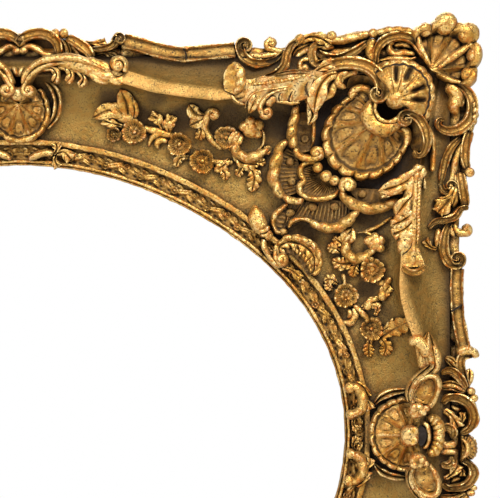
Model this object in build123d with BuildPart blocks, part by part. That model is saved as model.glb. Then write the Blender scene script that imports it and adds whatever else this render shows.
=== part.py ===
"""Ornate gilded picture frame with an oval sight, in the swept rococo manner.

A mitred pine back frame with four corner spandrels carries shaped hollow mouldings, an oval sight
moulding, reeded edge mouldings and cast ornaments. Turn buttons hold the picture in the rebate
and two ring hangers carry the frame on a wall.

X runs to the right and Z up. The wall is the plane Y = 0 and the face looks towards -Y, so a depth
is a distance from the wall towards the viewer. All sizes are in millimetres.
"""

import math
import os

from build123d import *

# Oval sight, rebate and the width of the frame beyond the sight
sight_half_width = 298.0
sight_half_height = 246.5
frame_width_side = 124.0
frame_width_top = 140.5
sight_moulding_width = 24.0
rebate_lap = 8.0
rebate_clearance = 0.3

# Back frame
back_margin = 1.0
back_rail_width = 80.0
back_thickness = 18.0
bumper_thickness = 5.0
mitre_angle = 45.0

# Edge mouldings: how far in from the corners' reach they run, and the reeded rail
edge_inset_side = 21.0
edge_inset_top = 34.0
edge_width = 14.0
edge_rise = 11.0
edge_flare = 4.0
reed_radius = 3.4
reed_spacing = 6.0
rail_corner_end = 222.0
rail_centre_end_top = 92.0
rail_centre_end_side = 80.0
edge_fan_gap = 68.0
edge_curl_radius = 4.0
edge_volute_radius = 6.0

# Hollow mouldings: swept ridge, the two coves and the gap round what is bedded on them
floor_rise = 4.0
cove_start = 8.0
ridge_rise = 37.0
ridge_corner_rise = 11.0
ridge_band = 10.0
ridge_band_fall = 3.0
ridge_edge_gap = 5.0
sweep_depth = 26.0
sweep_peak = 0.46
sweep_centre_spread = 0.14
sweep_corner_spread = 0.20
ridge_drop_from = 0.70
outer_dip = 12.0
outer_edge_rise = 16.0
bedding_gap = 0.3

# Sight moulding
sight_base_rise = 7.0
sight_bead_width = 5.0
sight_bead_rise = 10.0
sight_fillet_width = 5.5
sight_fillet_rise = 12.0
sight_lip_drop = 1.0

# Corner ornament
fan_hinge = (46.0, 50.0)
fan_lobes = [(-56, 37.0, 7.5), (-28, 43.0, 9.0), (0, 47.0, 10.0), (28, 43.0, 9.0), (56, 37.0, 7.5)]
fan_rise = 15.0
fan_plate_radius = 22.0
hood_centre = (68.0, 70.0)
hood_steps = [(26.0, 24.0, 12.0), (24.0, 19.0, 9.0), (19.0, 9.0, 8.0)]
fan_volutes = [(95.0, 76.0), (69.0, 101.0)]
fan_volute_steps = [(12.0, 11.0, 18.0), (11.0, 6.0, 6.0)]
fan_arm_radius = 6.0
fan_arm_rise = 22.0
shell_hinge = (92.0, 95.0)
shell_centre = (103.5, 113.0)
shell_radius = 41.0
shell_axis = 231.0
shell_lobe_step = 25.0
shell_side_reach = 34.0
shell_axis_reach = 26.5
shell_rim_ball = 8.5
shell_hinge_ball = 6.0
shell_hinge_rise = 18.0
shell_rim_rise = 16.0
shell_plate_rise = 10.0
shell_seam = 1.0
scroll_plate_rise = 11.0
scroll_sight_gap = 14.0
scroll_radius = 5.0
bead_radius = 4.6

# Leaves on the ridge
leaf_seat_rise = 24.0
leaf_proud = 2.0
leaf_width = 24.0
leaflet_rise = 5.0
leaflet_length = 22.0
leaflet_width = 9.0
leaflet_lean = 40.0

# Flower sprays
spray_rise = 7.0
spray_stem_width = 5.0
flower_rise = 6.0

# Centre ornaments
cartouche_hinge_gap = 32.0
cartouche_plate_radius = 26.0
cartouche_plate_rise = 20.0
cartouche_lobe_reach = 33.0
cartouche_lobe_ball = 6.5
cartouche_hinge_ball = 9.0
cartouche_hinge_rise = 26.0
cartouche_rim_rise = 16.0
arm_seat_rise = 24.0
arm_proud = 3.0
arm_plate_width = 18.0
arm_radius = 5.0
crest_plate_rise = 11.0
crest_radius = 4.0
crest_end_gap = 0.6

# Sight ornaments
sight_leaf_rise = 5.0
sight_leaf_width = 11.0
sight_strand_radius = 3.0

# Hardware on the back
screw_shank_radius = 1.7
screw_head_radius = 3.5
screw_head_height = 1.4
screw_length = 15.0
screw_clearance = 0.05
turn_button_reach = 34.0
turn_button_width = 12.0
turn_button_thickness = 2.0
turn_button_setback = 26.0
turn_button_play = 0.1
hanger_height = 80.0
hanger_side_inset = 40.0
hanger_plate_length = 34.0
hanger_plate_width = 14.0
hanger_plate_thickness = 1.4
hanger_loop_length = 9.0
hanger_loop_wall = 0.8
ring_wire_radius = 1.2
ring_half_width = 11.0
ring_drop = 22.0
ring_clearance = 0.08
bumper_radius = 9.0
bumper_inset = 20.0
key_length = 56.0
key_width = 14.0
key_thickness = 6.0
key_corner_inset = 46.0
key_clearance = 0.2

# Reach of the corners, and what follows from it
corner_half_width = sight_half_width + frame_width_side
corner_half_height = sight_half_height + frame_width_top
edge_half_width = corner_half_width - edge_inset_side
edge_half_height = corner_half_height - edge_inset_top
hollow_half_width = edge_half_width - edge_width / 2 - bedding_gap
hollow_half_height = edge_half_height - edge_width / 2 - bedding_gap
back_half_width = edge_half_width + back_margin
back_half_height = edge_half_height + back_margin
inner_half_width = back_half_width - back_rail_width
inner_half_height = back_half_height - back_rail_width

# Depth levels
back_face = bumper_thickness
back_front = bumper_thickness + back_thickness
floor_depth = back_front + floor_rise
ridge_depth = back_front + ridge_rise
sight_fillet_depth = back_front + sight_fillet_rise

# How far a strand's bends reach into the runs beside them, and its axis stands off its ground
bend_share = 0.45
strand_lift = 1.0

os.makedirs("parts", exist_ok=True)


def face_plane(depth):
    """The plane at a depth, with local x to the right and local y up, facing the viewer."""
    return Plane(origin=(0, -depth, 0), x_dir=(1, 0, 0), z_dir=(0, -1, 0))


def on_face(point, depth):
    """A point of the face, as a place in space at a depth."""
    return Vector(point[0], -depth, point[1])


def at_corner(inset, drop):
    """The point this far in from the right edge and down from the top edge of the face."""
    return (corner_half_width - inset, corner_half_height - drop)


def at_top(along, drop):
    """The point this far right of the middle and down from the top edge of the face."""
    return (along, corner_half_height - drop)


def at_right(inset, along):
    """The point this far in from the right edge of the face and above the middle."""
    return (corner_half_width - inset, along)


def along_edge(side, distance, offset):
    """The point this far from the corner along an edge's centre line and out from it."""
    if side == "top":
        return (corner_half_width - distance, edge_half_height + offset)
    return (edge_half_width + offset, corner_half_height - distance)


def sight_point(angle, margin):
    """A point of the oval that stands a margin outside the sight."""
    turn = math.radians(angle)
    return (
        (sight_half_width + margin) * math.cos(turn),
        (sight_half_height + margin) * math.sin(turn),
    )


def polar(centre, radius, angle):
    """The point at a radius and an angle from a centre, in face coordinates."""
    turn = math.radians(angle)
    return (centre[0] + radius * math.cos(turn), centre[1] + radius * math.sin(turn))


def swept_gap(u):
    """Distance of the ridge from the hollow's outer edge, from the middle (0) to the corner (1)."""
    reach = abs(u) - sweep_peak
    spread = sweep_centre_spread if reach < 0 else sweep_corner_spread
    mitre_stretch = 1 + (math.sqrt(2) - 1) * abs(u) ** 3
    return mitre_stretch * (ridge_edge_gap + sweep_depth * math.exp(-((reach / spread) ** 2)))


def ridge_level(u):
    """Rise of the ridge above the back frame, which sinks under the corner ornament."""
    share = max(0.0, (abs(u) - ridge_drop_from) / (1 - ridge_drop_from))
    ease = share * share * (3 - 2 * share)
    return ridge_rise + (ridge_corner_rise - ridge_rise) * ease


hollow_stations = [-1, -0.92, -0.84, -0.76, -0.68, -0.58, -0.46, -0.36, -0.26, -0.14]
hollow_stations += [0] + [-u for u in reversed(hollow_stations)]


def hollow_ends(side, u):
    """Where a hollow's cross section starts at the sight moulding and ends at the edge."""
    if side == "top":
        turn = 90 - (90 - mitre_angle) * u
        return sight_point(turn, sight_moulding_width), (u * hollow_half_width, hollow_half_height)
    return (
        sight_point(mitre_angle * u, sight_moulding_width),
        (hollow_half_width, u * hollow_half_height),
    )


def make_hollow(side, pockets):
    """A side's hollow moulding, with the seats cut for what is bedded on it."""
    with BuildPart() as hollow:
        for u in hollow_stations:
            start, end = hollow_ends(side, u)
            ray = Vector(end[0] - start[0], 0, end[1] - start[1])
            width = ray.length
            ridge_end = width - swept_gap(u)
            ridge_start = ridge_end - ridge_band
            top = back_front + ridge_level(u)
            shoulder = top - ridge_band_fall
            edge = back_front + min(outer_edge_rise, ridge_level(u))
            dip = min(shoulder, edge) - outer_dip * ridge_level(u) / ridge_rise
            with BuildSketch(
                Plane(origin=on_face(start, 0), x_dir=ray, z_dir=(ray.Z, 0, -ray.X))
            ):
                with BuildLine():
                    Polyline(
                        (width, edge), (width, back_front), (-cove_start, back_front),
                        (-cove_start, floor_depth), (cove_start, floor_depth),
                    )
                    Bezier(
                        (cove_start, floor_depth), (ridge_start, floor_depth), (ridge_start, top)
                    )
                    Line((ridge_start, top), (ridge_end, shoulder))
                    Bezier((ridge_end, shoulder), ((ridge_end + width) / 2, dip), (width, edge))
                make_face()
        loft(ruled=True)
        with BuildSketch(face_plane(back_front)):
            Ellipse(
                sight_half_width + sight_moulding_width + bedding_gap,
                sight_half_height + sight_moulding_width + bedding_gap,
            )
        extrude(amount=ridge_rise, mode=Mode.SUBTRACT)
        for pocket in pockets:
            add(pocket, mode=Mode.SUBTRACT)
    return hollow.part


def draw_bar(points, width):
    """Draws a flat bar with round ends and joints along points."""
    for start, end in zip(points, points[1:]):
        run = Vector(end) - Vector(start)
        middle = Vector(start) + run * 0.5
        heading = math.degrees(math.atan2(run.Y, run.X))
        with Locations(Location((middle.X, middle.Y), heading)):
            SlotCenterToCenter(run.length, width)


def draw_blade(base, tip, width):
    """Draws a leaf blade between a base and a tip."""
    run = Vector(tip) - Vector(base)
    middle = Vector(base) + run * 0.5
    across = Vector(-run.Y, run.X).normalized() * (width / 2)
    with BuildLine() as leaf:
        ThreePointArc(base, middle + across, tip)
        ThreePointArc(tip, middle - across, base)
    make_face(leaf.edges())


def seat_over(outline):
    """The tool that clears everything in front of an outline, up past the ridge."""
    with BuildPart() as tool:
        extrude(outline, amount=2 * ridge_rise)
    return tool.part


def strand(points, radius, depth):
    """A round strand of carving along points of the face, with rounded ends."""
    bends = []
    for before, here, after in zip(points, points[1:], points[2:]):
        run_in = Vector(here) - Vector(before)
        run_out = Vector(after) - Vector(here)
        half_turn = math.radians(run_in.get_angle(run_out) / 2)
        bends.append(bend_share * min(run_in.length, run_out.length) / math.tan(half_turn))
    with BuildPart() as tube:
        with BuildLine(face_plane(depth)) as path:
            FilletPolyline(*points, radius=bends)
        with BuildSketch(path.line ^ 0):
            Circle(radius)
        sweep(path=path.line)
        with Locations(Plane(path.line ^ 0), Plane(path.line ^ 1)):
            Sphere(radius)
    return tube.part


def lobe(hinge, rim, hinge_radius, rim_radius, hinge_depth, rim_depth):
    """One lobe of a shell: a cone from the hinge to a ball at the rim."""
    start, end = on_face(hinge, hinge_depth), on_face(rim, rim_depth)
    with BuildPart() as flute:
        with Locations(Plane(origin=start, z_dir=end - start)):
            Cone(
                hinge_radius, rim_radius, (end - start).length,
                align=(Align.CENTER, Align.CENTER, Align.MIN),
            )
        with Locations(Plane(origin=end, z_dir=end - start)):
            Sphere(rim_radius)
    return flute.part


def ball(point, radius, depth):
    """A ball at a point of the face and a depth, with its poles to the viewer and the wall."""
    with BuildPart() as solid:
        with Locations(Plane(origin=on_face(point, depth), x_dir=(3, 0, 1), z_dir=(0, -1, 0))):
            Sphere(radius)
    return solid.part


def plate(point, radius, depth, rise):
    """A round plate that stands on a depth."""
    with BuildPart() as disc:
        with BuildSketch(face_plane(depth)):
            with Locations(point):
                Circle(radius)
        extrude(amount=rise)
    return disc.part


def mound(point, steps, depth):
    """A round mound that stands on a depth: rings of lower radius, upper radius and rise."""
    with BuildPart() as solid:
        for lower, upper, rise in steps:
            with Locations(Plane(origin=on_face(point, depth), z_dir=(0, -1, 0))):
                Cone(lower, upper, rise, align=(Align.CENTER, Align.CENTER, Align.MIN))
            depth += rise
    return solid.part


def blossom(centre, radius, depth, height, petals=6):
    """A rosette of round petals with a domed eye."""
    with BuildPart() as flower:
        with BuildSketch(face_plane(depth)):
            with Locations(centre):
                Circle(radius * 0.6)
                with PolarLocations(radius * 0.56, petals):
                    Circle(radius * 0.38)
        extrude(amount=height)
        with Locations(on_face(centre, depth + height)):
            Sphere(radius * 0.3)
    return flower.part


def below(depth):
    """Everything between the wall and a depth, as a tool."""
    with BuildPart() as block:
        with BuildSketch(face_plane(-depth)):
            Rectangle(4 * corner_half_width, 4 * corner_half_height)
        extrude(amount=2 * depth)
    return block.part


def save(shape, name):
    """Labels a finished piece and writes its file."""
    shape.label = name
    export_step(shape, f"parts/{name}.step")


def save_four(shape, name):
    """Writes a piece of the top right corner and its three mirror images."""
    left = mirror(shape, about=Plane.YZ)
    save(shape, f"{name}_top_right")
    save(left, f"{name}_top_left")
    save(mirror(shape, about=Plane.XY), f"{name}_bottom_right")
    save(mirror(left, about=Plane.XY), f"{name}_bottom_left")


def save_sides(top, right, name):
    """Writes a top and a right piece and their mirror images."""
    save(top, f"{name}_top")
    save(right, f"{name}_right")
    save(mirror(top, about=Plane.XY), f"{name}_bottom")
    save(mirror(right, about=Plane.YZ), f"{name}_left")


# Screws: where each pierces the back, for the holes and for the screws themselves
turn_pivot_x = sight_half_width + rebate_lap + turn_button_setback
turn_pivot_z = sight_half_height + rebate_lap + turn_button_setback
turn_button_points = {
    "top": (0, turn_pivot_z),
    "right": (turn_pivot_x, 0),
    "bottom": (0, -turn_pivot_z),
    "left": (-turn_pivot_x, 0),
}
turn_button_headings = {"top": 0, "right": 90, "bottom": 180, "left": 270}
hanger_x = back_half_width - hanger_side_inset
hanger_screw_points = [
    (side * (hanger_x + share * hanger_plate_length), hanger_height)
    for side in (-1, 1)
    for share in (-0.1, 0.3)
]
key_places = [
    Location(
        (
            side * (back_half_width - key_corner_inset),
            up * (back_half_height - key_corner_inset),
        ),
        -45 * side * up,
    )
    for side in (-1, 1)
    for up in (-1, 1)
]

# Tool for the screw holes and the key pockets in the back frame
with BuildPart() as back_fittings:
    screw_points = list(turn_button_points.values()) + hanger_screw_points
    with Locations(*[on_face(point, back_face) for point in screw_points]):
        Cylinder(screw_shank_radius + screw_clearance, 2 * screw_length, rotation=(90, 0, 0))
    with BuildSketch(face_plane(back_face)):
        with Locations(*key_places):
            Rectangle(key_length + 2 * key_clearance, key_width + 2 * key_clearance)
    extrude(amount=key_thickness + key_clearance)

# Back frame: four mitred rails
with BuildPart() as back_rail_top:
    with BuildSketch(face_plane(back_face)):
        with BuildLine():
            Polyline(
                (-back_half_width, back_half_height), (back_half_width, back_half_height),
                (inner_half_width, inner_half_height), (-inner_half_width, inner_half_height),
                close=True,
            )
        make_face()
    extrude(amount=back_thickness)
    add(back_fittings.part, mode=Mode.SUBTRACT)

with BuildPart() as back_rail_right:
    with BuildSketch(face_plane(back_face)):
        with BuildLine():
            Polyline(
                (back_half_width, back_half_height), (back_half_width, -back_half_height),
                (inner_half_width, -inner_half_height), (inner_half_width, inner_half_height),
                close=True,
            )
        make_face()
    extrude(amount=back_thickness)
    add(back_fittings.part, mode=Mode.SUBTRACT)

save_sides(back_rail_top.part, back_rail_right.part, "back_rail")

# Keys let into the back across the four mitres
with BuildPart() as mitre_keys:
    with BuildSketch(face_plane(back_face)):
        with Locations(*key_places):
            Rectangle(key_length, key_width)
    extrude(amount=key_thickness)
save(mitre_keys.part, "mitre_keys")

# Spandrels: fill the back frame's corners down to the oval rebate
with BuildPart() as spandrel:
    with BuildSketch(face_plane(back_face)):
        with Locations((inner_half_width / 2, inner_half_height / 2)):
            Rectangle(inner_half_width, inner_half_height)
        Ellipse(
            sight_half_width + rebate_lap, sight_half_height + rebate_lap, mode=Mode.SUBTRACT
        )
    extrude(amount=back_thickness)
    add(back_fittings.part, mode=Mode.SUBTRACT)
save_four(spandrel.part, "spandrel")


def sight_ring(inner, outer):
    """The flat oval ring between two margins outside the sight, in its top right quarter."""
    reach = corner_half_width + corner_half_height
    with BuildSketch(face_plane(back_front)) as ring:
        Ellipse(sight_half_width + outer, sight_half_height + outer)
        Ellipse(sight_half_width + inner, sight_half_height + inner, mode=Mode.SUBTRACT)
        with Locations((reach / 2, reach / 2)):
            Rectangle(reach, reach, mode=Mode.INTERSECT)
    return ring.sketch


# Sight moulding: bead, ornament band and raised fillet, with a lip over the rebate
with BuildPart() as sight_moulding:
    extrude(sight_ring(0, sight_moulding_width), amount=sight_base_rise)
    extrude(sight_ring(0, rebate_lap - rebate_clearance), amount=-sight_lip_drop)
    extrude(sight_ring(0, sight_bead_width), amount=sight_bead_rise)
    extrude(
        sight_ring(sight_moulding_width - sight_fillet_width, sight_moulding_width),
        amount=sight_fillet_rise,
    )
save_four(sight_moulding.part, "sight_moulding")

# Flat seat that the corner ornament is bedded on, in insets from the corner
corner_seat_points = [
    (-10, -10), (142, -10), (142, 66), (160, 84), (178, 87), (190, 108), (205, 130),
    (207, 164), (218, 218), (150, 208), (114, 206), (104, 192), (80, 188), (76, 162),
    (58, 147), (-10, 147),
]
with BuildSketch(face_plane(floor_depth)) as corner_seat:
    with BuildLine():
        Polyline(*[at_corner(*point) for point in corner_seat_points], close=True)
    make_face()

# Spines of the two leaves that lie on the ridge beside each corner
leaf_spines = {
    "top": (at_corner(152, 58), at_corner(233, 79)),
    "right": (at_corner(69, 152), at_corner(61, 238)),
}
leaf_depth = back_front + leaf_seat_rise
leaf_plate_rise = ridge_rise - leaf_seat_rise + leaf_proud

# Flower sprays, placed by angle and margin round the sight: stems, flowers and leaves
spray_stems = {
    "top": [
        [(76.5, 40), (72.3, 44.7), (70.5, 50.3), (66.6, 52.4), (64.8, 47.5), (60.8, 41.9)],
        [(60.8, 41.9), (58.3, 58.4), (59.2, 70.7), (62.7, 75)],
        [(58.3, 58.4), (55.6, 64), (55.4, 72)],
        [(60.8, 41.9), (55.0, 45), (51.8, 41)],
    ],
    "right": [
        [(34.6, 70), (33.8, 60.5), (31.8, 56), (29.4, 52.5), (26.7, 40)],
        [(29.4, 52.5), (28.7, 66)],
        [(26.7, 40), (24.1, 41.4), (21.7, 43.5), (19.4, 42.7), (16.0, 49.3)],
        [(24.1, 41.4), (24.1, 60)],
    ],
}
spray_flowers = {
    "top": [(72.3, 44.7, 11), (64.8, 47.5, 11), (60.8, 41.9, 11.5), (59.2, 70.7, 11)],
    "right": [(28.7, 68, 11.5), (26.7, 40, 11), (19.4, 42.7, 11), (24.1, 62, 6.5)],
}
spray_leaves = {
    "top": [((72.3, 44.7), (78.1, 53.4), 9), ((72.3, 44.7), (75.2, 68), 9),
            ((68, 52), (69.1, 66), 9), ((60, 62), (64.5, 74), 8)],
    "right": [((29.4, 50), (33.1, 38), 9), ((26.7, 40), (29.8, 33), 7),
              ((19.4, 42.7), (18.3, 66), 9), ((19.4, 42.7), (15.4, 36), 9)],
}


def spray_outline(side, grow):
    """The outline of a side's flower spray on the floor of the cove, grown by a gap."""
    with BuildSketch(face_plane(floor_depth)) as outline:
        for stem in spray_stems[side]:
            draw_bar([sight_point(*point) for point in stem], spray_stem_width + 2 * grow)
        for angle, margin, radius in spray_flowers[side]:
            with Locations(sight_point(angle, margin)):
                Circle(radius + grow)
        for base, tip, width in spray_leaves[side]:
            draw_bar([sight_point(*base), sight_point(*tip)], width / 2 + 2 * grow)
    return outline.sketch


def leaf_outline(side, grow):
    """The outline of the leaf on a side's ridge, grown by a gap."""
    base, tip = leaf_spines[side]
    with BuildSketch(face_plane(leaf_depth)) as outline:
        draw_bar([base, tip], leaf_width + 2 * grow)
    return outline.sketch


# Centre ornaments: hinge of each shell, and the run of the arms along the ridge from the middle
cartouche_hinges = {
    "top": (0, sight_half_height + sight_moulding_width + cartouche_hinge_gap),
    "right": (sight_half_width + sight_moulding_width + cartouche_hinge_gap, 0),
}
cartouche_arms = {
    "top": [at_top(0, 58), at_top(14, 54), at_top(34, 51), at_top(62, 52), at_top(82, 58)],
    "right": [at_right(54, 0), at_right(50, 24), at_right(50, 50), at_right(52, 76)],
}
arm_depth = back_front + arm_seat_rise
arm_plate_rise = ridge_rise - arm_seat_rise + arm_proud


def cartouche_ground(side, grow):
    """The outline under the shell of a side's centre ornament, grown by a gap."""
    with BuildSketch(face_plane(floor_depth)) as outline:
        with Locations(cartouche_hinges[side]):
            Circle(cartouche_plate_radius + grow)
    return outline.sketch


def arm_outline(side, grow):
    """The outline of half of a centre ornament's arms, grown by a gap."""
    with BuildSketch(face_plane(arm_depth)) as outline:
        draw_bar(cartouche_arms[side], arm_plate_width + 2 * grow)
    return outline.sketch


def make_pockets(side, middle_plane):
    """The seats cut in one side's hollow, on both halves of it."""
    halves = [
        seat_over(corner_seat.sketch),
        seat_over(leaf_outline(side, bedding_gap)),
        seat_over(spray_outline(side, bedding_gap)),
        seat_over(arm_outline(side, bedding_gap)),
    ]
    whole = [seat_over(cartouche_ground(side, bedding_gap))]
    return whole + halves + [mirror(half, about=middle_plane) for half in halves]


# Hollow mouldings
hollow_top = make_hollow("top", make_pockets("top", Plane.YZ))
hollow_right = make_hollow("right", make_pockets("right", Plane.XY))
save_sides(hollow_top, hollow_right, "hollow")

# Strands of the edge between the rail and the fan: distance from the corner, offset outwards
edge_curls = [
    [(214, -2), (199, -2.5), (185, 0), (175, 6), (165, 10), (154, 9)],
    [(154, -2), (140, 5), (124, 8), (109, 4), (97, -2)],
    [(99, -1), (91, 7), (81, 10), (73, 7)],
]


def make_edge(side, half_length, centre_gap):
    """The right or upper half of a side's edge moulding, from the centre crest to the fan."""
    centre_end = half_length - centre_gap
    kink = (rail_corner_end + centre_end) / 2
    depth = back_front + edge_rise + strand_lift
    half = edge_width / 2
    outline = [
        (edge_fan_gap, -half), (edge_fan_gap, half), (rail_corner_end, half + edge_flare),
        (kink, half), (centre_end, half + edge_flare), (centre_end, -half),
    ]
    if side == "right":
        outline.reverse()
    with BuildPart() as edge:
        with BuildSketch(face_plane(back_front)):
            with BuildLine():
                Polyline(*[along_edge(side, *point) for point in outline], close=True)
            make_face()
        extrude(amount=edge_rise)
        for offset in (-reed_spacing / 2, reed_spacing / 2):
            add(
                strand(
                    [
                        along_edge(side, rail_corner_end, offset + edge_flare),
                        along_edge(side, kink, offset),
                        along_edge(side, centre_end - reed_radius, offset + edge_flare),
                    ],
                    reed_radius, depth,
                )
            )
        for curl in edge_curls:
            add(strand([along_edge(side, *point) for point in curl], edge_curl_radius, depth))
        add(ball(along_edge(side, rail_corner_end, half), edge_volute_radius, depth))
    return edge.part


edge_top = make_edge("top", corner_half_width, rail_centre_end_top)
edge_right = make_edge("right", corner_half_height, rail_centre_end_side)
save_sides(
    Compound([edge_top, mirror(edge_top, about=Plane.YZ)]),
    Compound([edge_right, mirror(edge_right, about=Plane.XY)]),
    "edge_moulding",
)

# Bay that the corner shell fills: a box beyond its seam with the fan, in front of the floor
shell_turn = math.radians(shell_axis)
shell_forward = Vector(math.cos(shell_turn), math.sin(shell_turn))
shell_bay_length = 3 * shell_radius


def shell_side(seam, forward):
    """Everything on one side of the seam between the fan and the shell, as a tool."""
    middle = Vector(at_corner(*shell_hinge)) + shell_forward * (
        forward * shell_bay_length / 2 - seam
    )
    with BuildPart() as bay:
        with BuildSketch(face_plane(0)):
            with Locations(Location((middle.X, middle.Y), shell_axis)):
                Rectangle(shell_bay_length, 2 * shell_radius)
        extrude(amount=2 * ridge_depth)
    return bay.part


under_floor = below(floor_depth)

# Fan over the corner, with the fluted hood and its two scrolled arms
fan_arms = [
    [(93, 65), (106, 54), (118, 53), (130, 57)],
    [(55, 97), (48, 110), (49, 122), (55, 132)],
]
with BuildPart() as corner_fan:
    fan_depth = floor_depth + fan_rise + strand_lift
    fan_point = at_corner(*fan_hinge)
    add(plate(fan_point, fan_plate_radius, floor_depth, fan_rise))
    for lean, reach, rim in fan_lobes:
        add(
            lobe(
                fan_point, polar(fan_point, reach - rim, 45 + lean), rim / 2, rim,
                fan_depth, fan_depth,
            )
        )
    add(mound(at_corner(*hood_centre), hood_steps, floor_depth))
    for volute in fan_volutes:
        add(mound(at_corner(*volute), fan_volute_steps, floor_depth))
    fan_arm_depth = floor_depth + fan_arm_rise
    for arm in fan_arms:
        add(strand([at_corner(*point) for point in arm], fan_arm_radius, fan_arm_depth))
    add(under_floor, mode=Mode.SUBTRACT)
    add(shell_side(shell_seam, 1), mode=Mode.SUBTRACT)
save_four(corner_fan.part, "corner_fan")

# Shell below the hood
with BuildPart() as corner_shell:
    hinge = at_corner(*shell_hinge)
    add(plate(at_corner(*shell_centre), shell_radius - shell_rim_ball, floor_depth,
              shell_plate_rise))
    add(ball(hinge, 2 * shell_hinge_ball, floor_depth + shell_hinge_rise - shell_hinge_ball))
    for step in range(-3, 4):
        lean = step * shell_lobe_step
        reach = shell_side_reach + shell_axis_reach * math.cos(math.radians(lean)) ** 2
        add(
            lobe(
                hinge, polar(hinge, reach - shell_rim_ball, shell_axis + lean),
                shell_hinge_ball, shell_rim_ball,
                floor_depth + shell_hinge_rise, floor_depth + shell_rim_rise,
            )
        )
    add(under_floor, mode=Mode.SUBTRACT)
    add(shell_side(0, -1), mode=Mode.SUBTRACT)
save_four(corner_shell.part, "corner_shell")

# Ruffled scrolls round the shell, on a ground that stops short of the oval
scroll_ground_points = [
    (150, 90), (176, 92), (187, 112), (202, 133), (204, 162), (204, 200), (150, 201),
    (118, 199), (106, 188), (84, 184), (82, 166),
]
scroll_strands = [
    [(166, 95), (171, 108), (171, 124), (164, 134), (155, 137)],
    [(176, 115), (186, 132), (191, 146), (189, 160), (181, 170), (170, 173)],
    [(163, 140), (165, 150), (162, 162), (154, 170), (142, 171), (131, 165)],
    [(123, 160), (126, 167), (118, 175), (104, 177), (90, 175)],
    [(112, 184), (120, 192), (132, 196), (145, 195), (156, 191), (167, 190), (176, 195)],
]
scroll_beads = [(149.5, 142), (141, 150), (134, 156)]
with BuildPart() as corner_scrolls:
    with BuildSketch(face_plane(floor_depth)):
        with BuildLine():
            Polyline(*[at_corner(*point) for point in scroll_ground_points], close=True)
        make_face()
        with Locations(at_corner(*shell_centre)):
            Circle(shell_radius + 2 * shell_seam, mode=Mode.SUBTRACT)
        Ellipse(
            sight_half_width + sight_moulding_width + scroll_sight_gap,
            sight_half_height + sight_moulding_width + scroll_sight_gap,
            mode=Mode.SUBTRACT,
        )
    extrude(amount=scroll_plate_rise)
    scroll_depth = floor_depth + scroll_plate_rise + strand_lift
    for curl in scroll_strands:
        add(strand([at_corner(*point) for point in curl], scroll_radius, scroll_depth))
    for bead in scroll_beads:
        add(ball(at_corner(*bead), bead_radius, scroll_depth))
save_four(corner_scrolls.part, "corner_scrolls")


def make_leaf(side):
    """The leaf on a side's ridge: a plate let into the ridge under four pairs of leaflets."""
    base, tip = (Vector(point) for point in leaf_spines[side])
    run = tip - base
    heading = math.degrees(math.atan2(run.Y, run.X))
    with BuildPart() as leaf:
        extrude(leaf_outline(side, 0), amount=leaf_plate_rise)
        with BuildSketch(face_plane(leaf_depth + leaf_plate_rise)):
            for share in (0.05, 0.3, 0.55, 0.8):
                root = base + run * share
                for lean in (-leaflet_lean, leaflet_lean):
                    end = polar((root.X, root.Y), leaflet_length, heading + lean)
                    draw_blade((root.X, root.Y), end, leaflet_width)
            draw_blade((base.X, base.Y), (tip.X, tip.Y), leaflet_width)
        extrude(amount=leaflet_rise)
    return leaf.part


save_four(Compound([make_leaf("top"), make_leaf("right")]), "corner_leaves")


def make_spray(side):
    """A side's flower spray, bedded on the floor of the cove."""
    with BuildPart() as spray:
        extrude(spray_outline(side, 0), amount=spray_rise)
        for angle, margin, radius in spray_flowers[side]:
            add(blossom(sight_point(angle, margin), radius, floor_depth + spray_rise, flower_rise))
    return spray.part


save_four(Compound([make_spray("top"), make_spray("right")]), "flower_sprays")

# Scrolls and leaf tips of the centre ornaments, for one half of each
cartouche_strands = {
    "top": [
        [at_top(6, 66), at_top(12, 55), at_top(25, 49), at_top(42, 47), at_top(62, 50),
         at_top(82, 56)],
    ],
    "right": [
        [at_right(56, 18), at_right(63, 34), at_right(60, 48), at_right(51, 56),
         at_right(43, 50), at_right(41, 38)],
        [at_right(53, 58), at_right(55, 70), at_right(52, 82)],
    ],
}
cartouche_blades = {
    "top": [(at_top(22, 52), at_top(33, 69)), (at_top(40, 50), at_top(46, 69)),
            (at_top(56, 51), at_top(60, 72)), (at_top(70, 53), at_top(92, 65))],
    "right": [(at_right(53, 62), at_right(63, 82)), (at_right(52, 66), at_right(46, 88))],
}
cartouche_facing = {"top": 270, "right": 180}


def make_cartouche(side, middle_plane):
    """A centre ornament: a shell that looks at the sight between two arms on the ridge."""
    centre = cartouche_hinges[side]
    with BuildPart() as half:
        extrude(arm_outline(side, 0), amount=arm_plate_rise)
        for path in cartouche_strands[side]:
            add(strand(path, arm_radius, ridge_depth + bedding_gap + arm_radius))
        with BuildSketch(face_plane(ridge_depth + bedding_gap)):
            for base, tip in cartouche_blades[side]:
                draw_blade(base, tip, leaflet_width)
        extrude(amount=leaflet_rise)
    other_half = mirror(half.part, about=middle_plane)
    with BuildPart() as cartouche:
        extrude(cartouche_ground(side, 0), amount=cartouche_plate_rise)
        add(ball(centre, cartouche_hinge_ball, floor_depth + cartouche_hinge_rise))
        for step in range(-3, 4):
            heading = cartouche_facing[side] + step * shell_lobe_step
            add(
                lobe(
                    centre,
                    polar(centre, cartouche_lobe_reach - cartouche_lobe_ball, heading),
                    cartouche_lobe_ball / 2, cartouche_lobe_ball,
                    floor_depth + cartouche_hinge_rise, floor_depth + cartouche_rim_rise,
                )
            )
        add(half.part)
        add(other_half)
    return cartouche.part


save_sides(
    make_cartouche("top", Plane.YZ), make_cartouche("right", Plane.XY), "centre_cartouche"
)

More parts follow.
